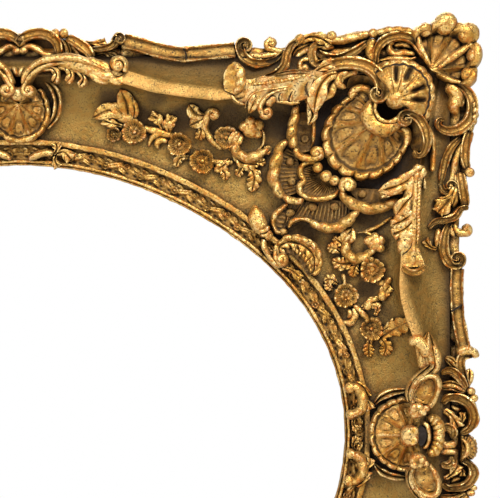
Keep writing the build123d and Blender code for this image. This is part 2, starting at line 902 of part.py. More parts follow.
# Crests on the edge above the centre ornaments
crest_depth = back_front + crest_plate_rise
crest_top_strands = [
    [(3.2, 28), (14, 20), (26, 21), (33, 29), (34, 36)],
    [(43, 36), (47, 28), (56, 26), (64, 33)],
]
crest_right_strands = [
    [(23, 28), (17, 35), (9, 33), (4.5, 18), (9, 5), (18, 0)],
    [(18, -24), (9, -28), (5, -41), (11, -52), (22, -54)],
]
with BuildPart() as crest_top:
    with BuildSketch(face_plane(back_front)):
        with Locations((0, edge_half_height)):
            Rectangle(2 * (rail_centre_end_top - crest_end_gap), edge_width)
    extrude(amount=crest_plate_rise)
    for flip in (-1, 1):
        for curl in crest_top_strands:
            add(
                strand(
                    [at_top(flip * x, drop) for x, drop in curl], crest_radius,
                    crest_depth + strand_lift,
                )
            )
        with BuildSketch(face_plane(crest_depth)):
            draw_blade(at_top(flip * 62, 34), at_top(flip * 86, 26), leaflet_width)
        extrude(amount=leaflet_rise)
with BuildPart() as crest_right:
    with BuildSketch(face_plane(back_front)):
        with Locations((edge_half_width, 0)):
            Rectangle(edge_width, 2 * (rail_centre_end_side - crest_end_gap))
    extrude(amount=crest_plate_rise)
    for curl in crest_right_strands:
        add(
            strand(
                [at_right(*point) for point in curl], crest_radius, crest_depth + strand_lift
            )
        )
    add(plate(at_right(15, -12), edge_width / 2, back_front, crest_plate_rise + crest_radius))
    with BuildSketch(face_plane(crest_depth)):
        draw_blade(at_right(20, 48), at_right(15, 76), leaflet_width)
        draw_blade(at_right(20, -52), at_right(15, -77), leaflet_width)
    extrude(amount=leaflet_rise)
save_sides(crest_top.part, crest_right.part, "centre_crest")

# Leaves that spill over the sight moulding under each corner, by angle and margin
sight_leaf_blades = [((35, 6), (36, 30)), ((38, 6), (38.5, 32)), ((41, 7), (41.5, 26)),
                     ((44, 22), (49.5, 25)), ((42.5, 8), (47, 19))]
sight_leaf_strand = [(33.5, 20), (35.2, 9), (38.5, 6), (41.5, 11), (43.5, 18), (46.5, 22)]
with BuildPart() as sight_leaf:
    with BuildSketch(face_plane(sight_fillet_depth)):
        for base, tip in sight_leaf_blades:
            draw_blade(sight_point(*base), sight_point(*tip), sight_leaf_width)
        draw_bar([sight_point(*point) for point in sight_leaf_strand], 2 * sight_strand_radius)
    extrude(amount=sight_leaf_rise)
    add(
        strand(
            [sight_point(*point) for point in sight_leaf_strand], sight_strand_radius,
            sight_fillet_depth + sight_leaf_rise + strand_lift,
        )
    )
leaf_pair = [sight_leaf.part, mirror(sight_leaf.part, about=Plane.YZ)]
save(
    Compound(leaf_pair + [mirror(leaf, about=Plane.XY) for leaf in leaf_pair]), "sight_leaves"
)

# Clasps on the sight moulding either side of the centre ornaments
clasp_blades = {
    "top": [((84.5, 21), (80.5, 6)), ((83.5, 21), (77.5, 12))],
    "right": [((5.5, 21), (8.5, 6)), ((6.5, 21), (11, 15))],
}


def make_clasp(side):
    """One clasp of curled leaves that rests on the raised fillet of the sight moulding."""
    with BuildPart() as clasp:
        with BuildSketch(face_plane(sight_fillet_depth)):
            for base, tip in clasp_blades[side]:
                draw_bar([sight_point(*base), sight_point(*tip)], sight_leaf_width / 2)
        extrude(amount=sight_leaf_rise)
    return clasp.part


clasp_quarter = [make_clasp("top"), make_clasp("right")]
clasp_half = clasp_quarter + [mirror(clasp, about=Plane.YZ) for clasp in clasp_quarter]
save(
    Compound(clasp_half + [mirror(clasp, about=Plane.XY) for clasp in clasp_half]),
    "sight_clasps",
)

# Turn buttons: each lies along the rebate until it is turned over the picture
turn_button_depth = back_face - turn_button_play - turn_button_thickness
for side, pivot in turn_button_points.items():
    with BuildPart() as turn_button:
        with BuildSketch(face_plane(turn_button_depth)):
            draw_bar(
                [pivot, polar(pivot, turn_button_reach - turn_button_width / 2,
                              turn_button_headings[side])],
                turn_button_width,
            )
            with Locations(pivot):
                Circle(screw_shank_radius + screw_clearance, mode=Mode.SUBTRACT)
        extrude(amount=turn_button_thickness)
    save(turn_button.part, f"turn_button_{side}")

# Screws of the turn buttons and of the hangers
hanger_plate_depth = back_face - hanger_plate_thickness
screw_heads = [
    (point, turn_button_depth - screw_clearance) for point in turn_button_points.values()
] + [(point, hanger_plate_depth) for point in hanger_screw_points]
with BuildPart() as screws:
    for point, seat_depth in screw_heads:
        with BuildSketch(face_plane(seat_depth - screw_head_height)):
            with Locations(point):
                Circle(screw_head_radius)
        extrude(amount=screw_head_height)
        with BuildSketch(face_plane(seat_depth)):
            with Locations(point):
                Circle(screw_shank_radius)
        extrude(amount=screw_length)
save(screws.part, "screws")

# Hangers: a screwed strap with a loop round the straight side of its ring
loop_bore = ring_wire_radius + ring_clearance
loop_radius = loop_bore + hanger_loop_wall
loop_x = hanger_x - hanger_plate_length / 2
loop_depth = back_face - loop_radius
with BuildPart() as hanger_plate:
    with BuildSketch(face_plane(hanger_plate_depth)):
        with Locations((hanger_x, hanger_height)):
            Rectangle(hanger_plate_length, hanger_plate_width)
        with Locations(*hanger_screw_points):
            Circle(screw_shank_radius + screw_clearance, mode=Mode.SUBTRACT)
    extrude(amount=hanger_plate_thickness)
    with Locations((loop_x, -loop_depth, hanger_height)):
        Cylinder(loop_radius, hanger_loop_length)
        Cylinder(loop_bore, 2 * hanger_plate_width, mode=Mode.SUBTRACT)
save(
    Compound([hanger_plate.part, mirror(hanger_plate.part, about=Plane.YZ)]), "hanger_plates"
)

# Rings of the hangers, lying flat and pointing inwards
with BuildPart() as d_ring:
    with BuildLine(face_plane(loop_depth)) as ring_path:
        upper = Line(
            (loop_x, hanger_height + ring_half_width),
            (loop_x - ring_drop + ring_half_width, hanger_height + ring_half_width),
        )
        turn = ThreePointArc(
            upper @ 1, (loop_x - ring_drop, hanger_height),
            (loop_x - ring_drop + ring_half_width, hanger_height - ring_half_width),
        )
        Line(turn @ 1, (loop_x, hanger_height - ring_half_width))
    with BuildSketch(ring_path.line ^ 0):
        Circle(ring_wire_radius)
    sweep(path=ring_path.line)
    with Locations((loop_x, -loop_depth, hanger_height)):
        Cylinder(ring_wire_radius, 2 * ring_half_width)
    with Locations(ring_path.line @ 0, ring_path.line @ 1):
        Sphere(ring_wire_radius)
save(d_ring.part, "d_ring_right")
save(mirror(d_ring.part, about=Plane.YZ), "d_ring_left")

# Felt bumpers that keep the back off the wall
with BuildPart() as bumpers:
    with BuildSketch(face_plane(0)):
        for side in (-1, 1):
            for up in (-1, 1):
                with Locations(
                    (side * (back_half_width - bumper_inset), up * (back_half_height - bumper_inset))
                ):
                    Circle(bumper_radius)
    extrude(amount=bumper_thickness)
save(bumpers.part, "bumpers")
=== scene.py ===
"""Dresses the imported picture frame: carved and gilded ornament, swept hollows, oval sight moulding.

X runs to the right and Z up, and the face looks towards -Y. Carving is laid out on the face in
millimetres as (x, z, depth), where depth is the distance from the wall towards the viewer.
"""

import logging
import math
from collections.abc import Sequence
from dataclasses import dataclass, field
from enum import Enum, IntEnum

import bpy
import numpy as np
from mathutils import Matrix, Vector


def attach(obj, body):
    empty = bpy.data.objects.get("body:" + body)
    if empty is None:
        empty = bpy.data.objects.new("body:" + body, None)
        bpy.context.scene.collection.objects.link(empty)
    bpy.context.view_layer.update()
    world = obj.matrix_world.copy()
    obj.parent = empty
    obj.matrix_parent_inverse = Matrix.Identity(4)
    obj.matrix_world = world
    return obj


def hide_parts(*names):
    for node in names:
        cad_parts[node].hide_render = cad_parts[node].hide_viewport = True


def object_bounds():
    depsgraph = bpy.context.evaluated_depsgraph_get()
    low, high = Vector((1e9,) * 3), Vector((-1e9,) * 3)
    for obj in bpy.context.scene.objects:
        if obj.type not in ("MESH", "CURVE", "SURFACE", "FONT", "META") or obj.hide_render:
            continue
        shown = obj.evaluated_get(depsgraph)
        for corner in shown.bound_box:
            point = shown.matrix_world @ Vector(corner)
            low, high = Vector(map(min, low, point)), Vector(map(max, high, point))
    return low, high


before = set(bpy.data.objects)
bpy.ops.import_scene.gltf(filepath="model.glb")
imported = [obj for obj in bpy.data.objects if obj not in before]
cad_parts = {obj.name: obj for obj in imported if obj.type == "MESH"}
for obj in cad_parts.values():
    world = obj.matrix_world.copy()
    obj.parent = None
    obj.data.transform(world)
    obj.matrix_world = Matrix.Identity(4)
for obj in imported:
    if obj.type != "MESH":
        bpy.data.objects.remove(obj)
cad_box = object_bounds()

log = logging.getLogger("picture_frame")

Pair = tuple[float, float]
Trio = tuple[float, float, float]
Colour = Trio
Points = Sequence[tuple[float, ...]]
Sheets = list[np.ndarray]
Piece = bpy.types.Object
Socket = bpy.types.NodeSocket

SIGHT_HALF_WIDTH = 298.0
SIGHT_HALF_HEIGHT = 246.5
OVAL_EASE = 7.1
HOLLOW_HALF_WIDTH = 393.7
HOLLOW_HALF_HEIGHT = 345.7
SIGHT_MOULDING_WIDTH = 24.0
BACK_FRONT = 23.0
FLOOR_DEPTH = 27.0
MILLIMETRE = 0.001
SEAM_GAP = 2e-5
LEAST_EDGE = 1e-5
TOOL_MARKS = ((0.0045, 0.008, 0.22), (0.011, 0.02, 0.4))
TOOL_WAVES = 7
TOOL_SEED = 11


def whole(*half: Trio) -> tuple[Trio, ...]:
    """The points of a section from those between one edge and its middle."""
    return (*half, *((-across, height, tone) for across, height, tone in half[-2::-1]))


class Section(Enum):
    """Cross-sections of a carved scroll, as (across, height, tone) points; the low tones are painted shade.
    """

    ROUND = whole((-1, 0, -0.75), (-0.92, 0.4, -0.45), (-0.7, 0.72, -0.2), (-0.38, 0.93, -0.05), (0, 1, 0))
    CHANNEL = whole(
        (-1, 0, -0.9), (-0.97, 0.55, -0.3), (-0.86, 0.95, 0.15), (-0.72, 1, 0.2), (-0.58, 0.8, -0.2),
        (-0.43, 0.5, -1), (-0.25, 0.4, -0.3), (0, 0.36, -0.15),
    )
    REEDS = whole(
        (-1, 0, -0.9), (-0.93, 0.6, -0.3), (-0.74, 0.94, 0.1), (-0.52, 0.98, 0.1), (-0.28, 0.72, -0.4),
        (0, 0.34, -1.2),
    )
    RIM = (
        (-1, 0, -0.9), (-0.96, 0.35, -0.4), (-0.8, 0.5, 0), (-0.6, 0.36, -0.6), (-0.2, 0.24, -0.6),
        (0.1, 0.3, -0.8), (0.32, 0.62, -0.3), (0.52, 0.95, 0.15), (0.72, 1, 0.2), (0.9, 0.7, -0.2),
        (1, 0, -0.9),
    )
    RAIL = whole(
        (-1, 0, -0.9), (-0.98, 0.6, -0.3), (-0.9, 0.96, 0.3), (-0.8, 1, 0.45), (-0.7, 0.9, 0.1),
        (-0.6, 0.66, -1.1), (-0.46, 0.55, -0.8), (0, 0.6, -0.35),
    )
    TRIPLE = whole(
        (-1, 0, -0.9), (-0.92, 0.55, -0.3), (-0.76, 0.72, 0.05), (-0.6, 0.6, -0.3), (-0.48, 0.36, -1.2),
        (-0.3, 0.82, -0.1), (0, 1, 0.15),
    )


ROUND, CHANNEL, REEDS, RIM, RAIL, TRIPLE = Section


class Side(IntEnum):
    """The four sides, counter-clockwise from the right."""

    RIGHT = 0
    TOP = 1
    LEFT = 2
    BOTTOM = 3

    @property
    def level(self) -> bool:
        """True for the top and the bottom."""
        return self in (Side.TOP, Side.BOTTOM)


class Corner(Enum):
    """The four corners, with the flips that carry the top right one to them."""

    TOP_RIGHT = ("top_right", 1, 1)
    TOP_LEFT = ("top_left", -1, 1)
    BOTTOM_RIGHT = ("bottom_right", 1, -1)
    BOTTOM_LEFT = ("bottom_left", -1, -1)


def oval(angle: np.ndarray | float, margin: np.ndarray | float) -> np.ndarray:
    """Points of the oval that stands a margin outside the sight.

    Args:
        angle: The parameter angle in degrees.
        margin: The distance outside the sight.

    Returns:
        The (x, z) points.
    """
    turn = np.radians(angle)
    margin = np.asarray(margin) - OVAL_EASE * np.sin(2 * turn) ** 2 * np.abs(np.sin(turn)) ** 1.5
    return np.stack(
        [(SIGHT_HALF_WIDTH + margin) * np.cos(turn), (SIGHT_HALF_HEIGHT + margin) * np.sin(turn)], axis=-1
    )


def smooth(value: np.ndarray | float, low: float, high: float) -> np.ndarray:
    """A smooth step from 0 at low to 1 at high."""
    t = np.clip((np.asarray(value, dtype=float) - low) / (high - low), 0.0, 1.0)
    return t * t * (3.0 - 2.0 * t)


def bow(count: int, start: Pair, middle: Pair, end: Pair) -> np.ndarray:
    """A number of points on the bow from start to end that is drawn towards middle."""
    t = np.linspace(0.0, 1.0, count)[:, None]
    return (1 - t) ** 2 * np.array(start) + 2 * t * (1 - t) * np.array(middle) + t**2 * np.array(end)


def headings(line: np.ndarray) -> np.ndarray:
    """The directions of a line on the face, each of length 1."""
    heading = np.gradient(line[:, :2], axis=0)
    return heading / np.maximum(np.hypot(heading[:, 0], heading[:, 1]), 1e-9)[:, None]


def curve(points: Points | np.ndarray, spacing: float = 1.6) -> np.ndarray:
    """Runs a smooth line through points, at an even spacing.

    Args:
        points: The (x, z, depth) points that the line goes through.
        spacing: The distance between the points of the line.

    Returns:
        The points of the line.
    """
    given = np.asarray(points, dtype=float)
    padded = np.vstack([2 * given[0] - given[1], given, 2 * given[-1] - given[-2]])
    t = np.linspace(0.0, 1.0, 14, endpoint=False)[:, None]
    runs = []
    for k in range(len(given) - 1):
        p, q, r, s = padded[k : k + 4]
        bend = (2 * p - 5 * q + 4 * r - s) * t**2
        runs.append(0.5 * (2 * q + (r - p) * t + bend + (3 * q - p - 3 * r + s) * t**3))
    line = np.vstack([*runs, given[-1:]])
    reach = np.concatenate([[0.0], np.cumsum(np.hypot(*np.diff(line[:, :2], axis=0).T))])
    count = max(8, int(reach[-1] / spacing) + 1)
    even = np.linspace(0.0, reach[-1], count)
    return np.stack([np.interp(even, reach, line[:, k]) for k in range(3)], axis=1)


def coil(
    centre: np.ndarray, start: float, turns: float, outer: float, inner: float, lift: float = 0.0
) -> np.ndarray:
    """The spiral of a volute.

    Args:
        centre: The (x, z, depth) of its eye.
        start: The angle in degrees where it begins, at its outer radius.
        turns: How many turns it makes, counter-clockwise where positive.
        outer: The radius at its start.
        inner: The radius at its end.
        lift: How far the eye stands above the start.

    Returns:
        The points of the spiral.
    """
    t = np.linspace(0.0, 1.0, max(10, int(abs(turns) * 26)))
    radius = outer + (inner - outer) * t**0.8
    turn = math.radians(start) + 2 * math.pi * turns * t
    return np.stack(
        [
            centre[0] + radius * np.cos(turn),
            centre[1] + radius * np.sin(turn),
            centre[2] + lift * (t - 1.0),
        ],
        axis=1,
    )


def sweep(
    path: np.ndarray,
    width: float,
    height: float,
    section: Section = CHANNEL,
    drop: float = 8.0,
    ends: Pair = (1.0, 1.0),
    ruffle: Pair = (0.0, 0.0),
    blunt: float = 0.8,
) -> np.ndarray:
    """Carves a scroll along a line, closed below and rounded at both ends.

    Args:
        path: The (x, z, depth) line of the scroll's seat.
        width: Half the scroll's width.
        height: How far its top stands above the line.
        section: Its cross-section.
        drop: How far its underside lies below the line.
        ends: The share of the width at its start and at its end.
        ruffle: The number of lumps along it and how deep the creases between them are.
        blunt: The length of the rounding at its ends, as a share of the width.

    Returns:
        The closed sheet of the scroll, with its tone.
    """
    count = len(path)
    heading = headings(path)
    across = np.stack([-heading[:, 1], heading[:, 0]], axis=1)
    along = np.linspace(0.0, 1.0, count)
    length = float(np.sum(np.hypot(*np.diff(path[:, :2], axis=0).T)))
    full = ends[0] + (1.0 - ends[0]) * smooth(along, 0.0, 0.35)
    full = full * (ends[1] + (1.0 - ends[1]) * smooth(1.0 - along, 0.0, 0.35))
    cap = max(min(width * blunt, length * 0.25), 1e-3)
    nearness = np.clip(np.minimum(along, 1.0 - along) * length / cap, 0.0, 1.0)
    rounding = np.sqrt(np.clip(1.0 - (1.0 - nearness) ** 2, 0.0, 1.0))[:, None]
    shape = np.asarray(section.value)
    over = np.concatenate([shape[:, 0], [0.9, -0.9, shape[0, 0]]])[None, :]
    crease = np.zeros((count, over.shape[1]))
    if ruffle[0]:
        slant = math.pi * (ruffle[0] * along[:, None] + 0.22 * over)
        crease = 1.0 - np.abs(np.sin(slant)) ** 0.55
    half = width * full[:, None] * rounding * over * (1.0 - 0.9 * ruffle[1] * crease)
    rise = height * (0.35 + 0.65 * full[:, None]) * rounding
    flat = np.zeros((count, over.shape[1], 4))
    flat[..., :2] = path[:, None, :2] + across[:, None, :] * half[..., None]
    inner = len(shape)
    flat[:, :inner, 2] = path[:, 2:3] + rise * shape[:, 1] * (1.0 - 1.5 * ruffle[1] * crease[:, :inner])
    flat[:, inner:, 2] = path[:, 2:3] - drop * rounding
    flat[:, inner + 2, 2] = flat[:, 0, 2]
    # The section's tones, with painted shade in the creases between the lumps; the underside is toned dark
    # too.
    flat[:, :inner, 3] = shape[:, 2] - 2.0 * ruffle[1] * crease[:, :inner]
    flat[:, inner:, 3] = -0.75
    return flat


def leaf(
    spine: np.ndarray,
    width: float,
    lobes: int,
    rise: float,
    drop: float = 5.0,
    lean: float = 0.8,
    stem: float = 0.25,
    fullest: float = 0.8,
) -> np.ndarray:
    """Carves a lobed leaf with a sunk midrib, a vein to every lobe and a curled edge.

    Args:
        spine: The (x, z, depth) points of its midrib, from the stem to the tip.
        width: Half its greatest width.
        lobes: The number of lobes on each side.
        rise: The height of its relief.
        drop: How far its underside lies below the midrib's line.
        lean: How far the lobes sweep towards the tip, in lobes.
        stem: The share of the width at the stem.
        fullest: Below 1 the leaf is fullest towards the tip, above 1 towards the stem.

    Returns:
        The closed sheet of the leaf.
    """
    line = curve(spine, 0.8)
    count = lobes * 9 + 8
    place = np.linspace(0.0, 1.0, count)
    envelope = np.sin(math.pi * np.clip(place, 0.0, 1.0) ** (1.0 / fullest)) ** 0.75
    envelope = np.maximum(envelope, stem * (1.0 - place) ** 0.5 * smooth(place, 0.0, 0.03))
    lobe = np.abs(np.sin(math.pi * place * lobes))
    outline = width * envelope * (0.66 + 0.34 * lobe**0.65)
    over = np.array([-1.0, -0.92, -0.76, -0.52, -0.26, -0.09, 0.0, 0.09, 0.26, 0.52, 0.76, 0.92, 1.0])
    spread = np.abs(over)
    steps = np.linspace(0.0, 1.0, len(line))
    sway = lean / lobes * spread[None, :] ** 1.4 * smooth(1.0 - place, 0.0, 0.25)[:, None]
    forward = np.clip(place[:, None] + sway * smooth(place, 0.0, 0.2)[:, None], 0.0, 1.0)
    heading = headings(line)
    x = np.interp(forward, steps, line[:, 0])
    z = np.interp(forward, steps, line[:, 1])
    depth = np.interp(forward, steps, line[:, 2])
    nx = -np.interp(forward, steps, heading[:, 1])
    nz = np.interp(forward, steps, heading[:, 0])
    half = outline[:, None] * over[None, :]
    body = np.sqrt(np.clip(1.0 - over**2, 0.0, 1.0))[None, :] ** 1.2
    relief = 0.5 * body + 0.5 * lobe[:, None] ** 0.8 * spread[None, :] ** 0.7
    relief = relief - 0.32 * np.exp(-((over / 0.11) ** 2))[None, :]
    relief = relief * (0.35 + 0.65 * envelope[:, None]) * smooth(place, 0.0, 0.05)[:, None]
    relief[:, 0] *= 0.35
    relief[:, -1] *= 0.35
    sheet = np.zeros((count, len(over) + 3, 4))
    inner = len(over)
    # Painted shade along the sunk midrib and the veins; the underside is toned dark too.
    vein = (1.0 - lobe[:, None]) ** 2 * spread[None, :] * (spread < 0.95)
    sheet[:, :inner, 3] = -0.7 * np.exp(-((over / 0.13) ** 2))[None, :] - 0.7 * vein
    sheet[:, inner:, 3] = -0.6
    sheet[:, :inner, 0] = x + nx * half
    sheet[:, :inner, 1] = z + nz * half
    sheet[:, :inner, 2] = depth + rise * relief
    for column, source in ((inner, inner - 2), (inner + 1, 1)):
        sheet[:, column, :2] = sheet[:, source, :2]
        sheet[:, column, 2] = depth[:, source] - drop * smooth(envelope, 0.0, 0.3)
    sheet[:, inner + 2] = sheet[:, 0]
    return sheet


@dataclass(frozen=True)
class Shell:
    """A carved shell that opens from a hinge, with ribs between its lobes and a rolled rim."""

    hinge: Pair
    axis: float
    spread: float
    reach: Pair
    lobes: int
    profile: tuple[Pair, ...]
    rib: float
    seat: float
    rim: float = 0.0
    rim_at: float = 0.92
    rim_width: float = 0.055
    teeth: int = 0
    scallop: float = 0.05
    tear: float = 0.0
    flute: float = 0.0
    slots: tuple[Trio, ...] = ()
    groove: float = 1.2

    def relief(self, t: np.ndarray, share: np.ndarray) -> tuple[np.ndarray, np.ndarray]:
        """Height of the shell over its face.

        Args:
            t: The rays' places across the shell.
            share: The shares of the radius along a ray.

        Returns:
            The depths and the tones, one ray to a row.
        """
        lobe = np.abs(np.sin(math.pi * t * self.lobes))[:, None]
        tooth = np.abs(np.sin(math.pi * t * (self.teeth or self.lobes)))[:, None]
        given = np.asarray(self.profile, dtype=float)
        depth = np.interp(share, given[:, 0], given[:, 1])[None, :] + np.zeros_like(lobe)
        grow = smooth(share, 0.04, 0.3) * (1.0 - smooth(share, self.rim_at - 0.1, self.rim_at))
        ridge = np.exp(-((lobe / 0.22) ** 2))
        depth = depth + grow[None, :] * (self.rib * ridge + self.flute * lobe)
        roll = np.exp(-(((share - self.rim_at) / self.rim_width) ** 4))[None, :]
        depth = depth + self.rim * roll * (0.25 + 0.75 * tooth**0.45)
        ring = np.hypot((1.0 - lobe) / 0.5, (share[None, :] - 0.6) / 0.2)
        groove = np.exp(-(((ring - 0.8) / 0.2) ** 2))
        depth = depth - self.tear * groove
        step = np.exp(-(((share - self.rim_at + 1.35 * self.rim_width) / 0.022) ** 2))[None, :]
        depth = depth - 0.25 * self.rim * step
        # Painted shade in the furrows between the ribs, the tear grooves, the step under the rim, the
        # notches between the rim's teeth and the cut slots.
        tone = -0.55 * grow[None, :] * (1.0 - ridge) - 0.5 * groove * min(self.tear, 1.0)
        tone = tone - self.groove * step
        tone = tone - 0.6 * roll * (1.0 - tooth**0.35)
        angle = self.axis + self.spread * (2 * t - 1.0)
        for turn, middle, long in self.slots:
            cut = np.exp(-(((angle - turn) / 5.0) ** 2))[:, None]
            cut = cut * np.exp(-(((share - middle) / long) ** 4))[None, :]
            depth = depth - 8.0 * cut
            tone = tone - 1.7 * cut
        return depth, tone

    def sheets(self) -> Sheets:
        """The closed sheets of the shell.

        Returns:
            The face with its underside, and the two straight sides.
        """
        t = np.linspace(0.0, 1.0, self.lobes * 20 + 1)
        turn = np.radians(self.axis + self.spread * (2 * t - 1.0))[:, None]
        tooth = np.abs(np.sin(math.pi * t * (self.teeth or self.lobes)))
        radius = self.reach[0] + self.reach[1] * np.cos(math.pi * (t - 0.5)) ** 2
        radius = (radius * (1.0 - self.scallop * (1.0 - tooth**0.6)))[:, None]
        share = np.concatenate([np.linspace(0.0, 0.7, 15), np.linspace(0.725, 1.0, 19)])
        depth, tone = self.relief(t, share)
        edge = np.full((len(t), 2), self.seat)
        along = np.concatenate([share, [0.985, 0.0]])[None, :]
        face = np.zeros((len(t), along.shape[1], 4))
        face[..., 0] = self.hinge[0] + radius * along * np.cos(turn)
        face[..., 1] = self.hinge[1] + radius * along * np.sin(turn)
        face[..., 2] = np.concatenate([depth, edge], axis=1)
        face[..., 3] = np.concatenate([tone, 0 * edge - 0.8], axis=1)
        sides = []
        for row in (face[0], face[-1]):
            under = row[:-2].copy()
            under[:, 2] = self.seat
            under[-1] = row[-2]
            sides.append(np.stack([row[:-2], under]))
        return [face, *sides]


def bead(
    centre: np.ndarray, radius: float, flat: float = 1.0, sunk: float = 0.0, tone: float = 0.0
) -> np.ndarray:
    """Carves a round bead, or a button with a sunk middle.

    Args:
        centre: The (x, z, depth) of its centre.
        radius: Its radius on the face.
        flat: Its height as a share of the radius.
        sunk: The depth of the hollow in its middle, as a share of the radius.
        tone: Its tone, below 0 where it is dull.

    Returns:
        The closed sheet of the bead.
    """
    lean = np.linspace(0.0, math.pi, 11)[:, None]
    turn = np.linspace(0.0, 2 * math.pi, 17)[None, :]
    reach = radius * np.sin(lean)
    sheet = np.zeros((11, 17, 4))
    sheet[..., 0] = centre[0] + reach * np.cos(turn)
    sheet[..., 1] = centre[1] + reach * np.sin(turn)
    hollow = sunk * radius * np.exp(-((reach / (0.45 * radius)) ** 2)) * (np.cos(lean) > 0)
    sheet[..., 2] = centre[2] + flat * radius * np.cos(lean) - hollow + 0 * turn
    # Painted shade round the bead's sides towards its seat and in its sunk middle.
    sheet[..., 3] = tone - 0.6 * smooth(lean / math.pi, 0.3, 0.6) - 0.3 * hollow
    sheet[:, -1] = sheet[:, 0]
    return sheet


def flower(
    centre: np.ndarray, radius: float, petals: int, rise: float, spin: float = 0.0
) -> np.ndarray:
    """Carves a cupped flower with a ruffled lip and a bud in its middle.

    Args:
        centre: The (x, z, depth) of its seat.
        radius: Its radius to the petal tips.
        petals: The number of petals.
        rise: The height of its relief.
        spin: How far it is turned, in degrees.

    Returns:
        The closed sheet of the flower, with its tone.
    """
    turn = np.linspace(0.0, 2 * math.pi, petals * 10 + 1)[:, None]
    share = np.array([0.0, 0.09, 0.16, 0.22, 0.28, 0.35, 0.44, 0.54, 0.64, 0.73, 0.8, 0.86, 0.92, 0.97, 1.0])
    start = math.radians(spin)
    petal = np.abs(np.cos(petals * (turn - start) / 2 + 0.35 * np.sin(turn * 2 + start)))
    seeds = 0.5 + 0.5 * np.cos(6 * turn + start)
    frill = min(1.0, 8.0 / petals)
    vein = np.abs(np.cos(petals * (turn - start))) ** 0.5
    wander = 0.06 * np.sin(turn + 2 * start) + 0.05 * np.sin(3 * turn + start)
    reach = radius * (1.05 - 0.15 * frill * (1.0 - petal**0.5) + wander)
    cup = 0.3 + 0.62 * smooth(share, 0.5, 0.9) - 0.75 * smooth(share, 0.94, 1.0)
    bud = 0.5 * np.exp(-((share / 0.17) ** 4))
    ring = 0.42 * np.exp(-(((share - 0.36) / 0.1) ** 2)) * (0.25 + 0.75 * seeds)
    fold = (petal**0.45 - 0.75) * 0.7 * frill * smooth(share, 0.5, 0.85)
    fold = fold - 0.16 * (1.0 - vein) * smooth(share, 0.36, 0.5)
    lean = 0.22 * share * np.cos(turn - 1.9 * start)
    sheet = np.zeros((len(turn), len(share) + 2, 4))
    along = np.concatenate([share, [0.8, 0.0]])
    sheet[..., 0] = centre[0] + reach * along * np.cos(turn)
    sheet[..., 1] = centre[1] + reach * along * np.sin(turn)
    sheet[:, : len(share), 2] = centre[2] + rise * (cup + bud + ring + fold + lean)
    sheet[:, len(share) :, 2] = centre[2] - 5.0
    # Painted shade: the cup darker, dark gaps between the petals at the rim, dark lines along the grooves
    # between the petal ribs, and a dark underside.
    dish = np.exp(-(((share - 0.58) / 0.2) ** 4))
    sheet[:, : len(share), 3] = -0.3 * dish - 0.8 * frill * (1.0 - petal**0.4) * smooth(share, 0.4, 0.7)
    sheet[:, : len(share), 3] -= 0.6 * (1.0 - vein) * dish
    sheet[:, len(share) :, 3] = -0.6
    sheet[:, 0, 2] = centre[2] + rise * (cup + bud)[0]
    sheet[-1] = sheet[0]
    return sheet


def hatched(
    outer: np.ndarray, inner: np.ndarray, ribs: float, relief: float = 0.9, drop: float = 4.0,
    tone: float = -1.0,
) -> np.ndarray:
    """Carves the ribbed ground between two lines.

    Args:
        outer: The (x, z, depth) points of one line.
        inner: The points of the other.
        ribs: The number of ribs across the ground.
        relief: The height of the ribs.
        drop: How far its underside lies below.
        tone: Its tone, below 0 where it is dull.

    Returns:
        The closed sheet of the ground.
    """
    count = int(ribs * 6) + 12
    along = np.linspace(0.0, 1.0, count)
    lines = []
    for points in (outer, inner):
        line = curve(points, 0.8)
        steps = np.linspace(0.0, 1.0, len(line))
        lines.append(np.stack([np.interp(along, steps, line[:, k]) for k in range(3)], axis=1))
    across = np.linspace(0.0, 1.0, 7)
    sheet = lines[0][:, None, :] + (lines[1] - lines[0])[:, None, :] * across[None, :, None]
    wave = relief * np.cos(2 * math.pi * ribs * along)[:, None] * np.sin(math.pi * across)[None, :]
    sheet[..., 2] += wave
    # The ground's tone, with painted shade in the troughs between the ribs and lighter crests.
    sheet = np.concatenate([sheet, (tone + 0.3 * wave / max(relief, 0.1))[..., None]], axis=2)
    under = sheet[:, ::-3].copy()
    under[..., 2] -= drop
    return np.concatenate([sheet, under, sheet[:, :1]], axis=1)


def mirrored(sheets: Sheets, axis: int) -> Sheets:
    """Adds the mirror images of sheets.

    Args:
        sheets: The sheets of one half.
        axis: 0 to mirror x and 1 to mirror z.

    Returns:
        The sheets of both halves.
    """
    copies = [sheet.copy() for sheet in sheets]
    for copy in copies:
        copy[..., axis] *= -1.0
    return [*sheets, *copies]


def burnish_and_shade(sheets: Sheets, gain: float) -> Sheets:
    """Shifts the tones of sheets: up to rub the gold brighter, down to paint shade.

    Args:
        sheets: The sheets, which are changed.
        gain: What is added to their tones.

    Returns:
        The same sheets.
    """
    for sheet in sheets:
        sheet[..., 3] += gain
    return sheets


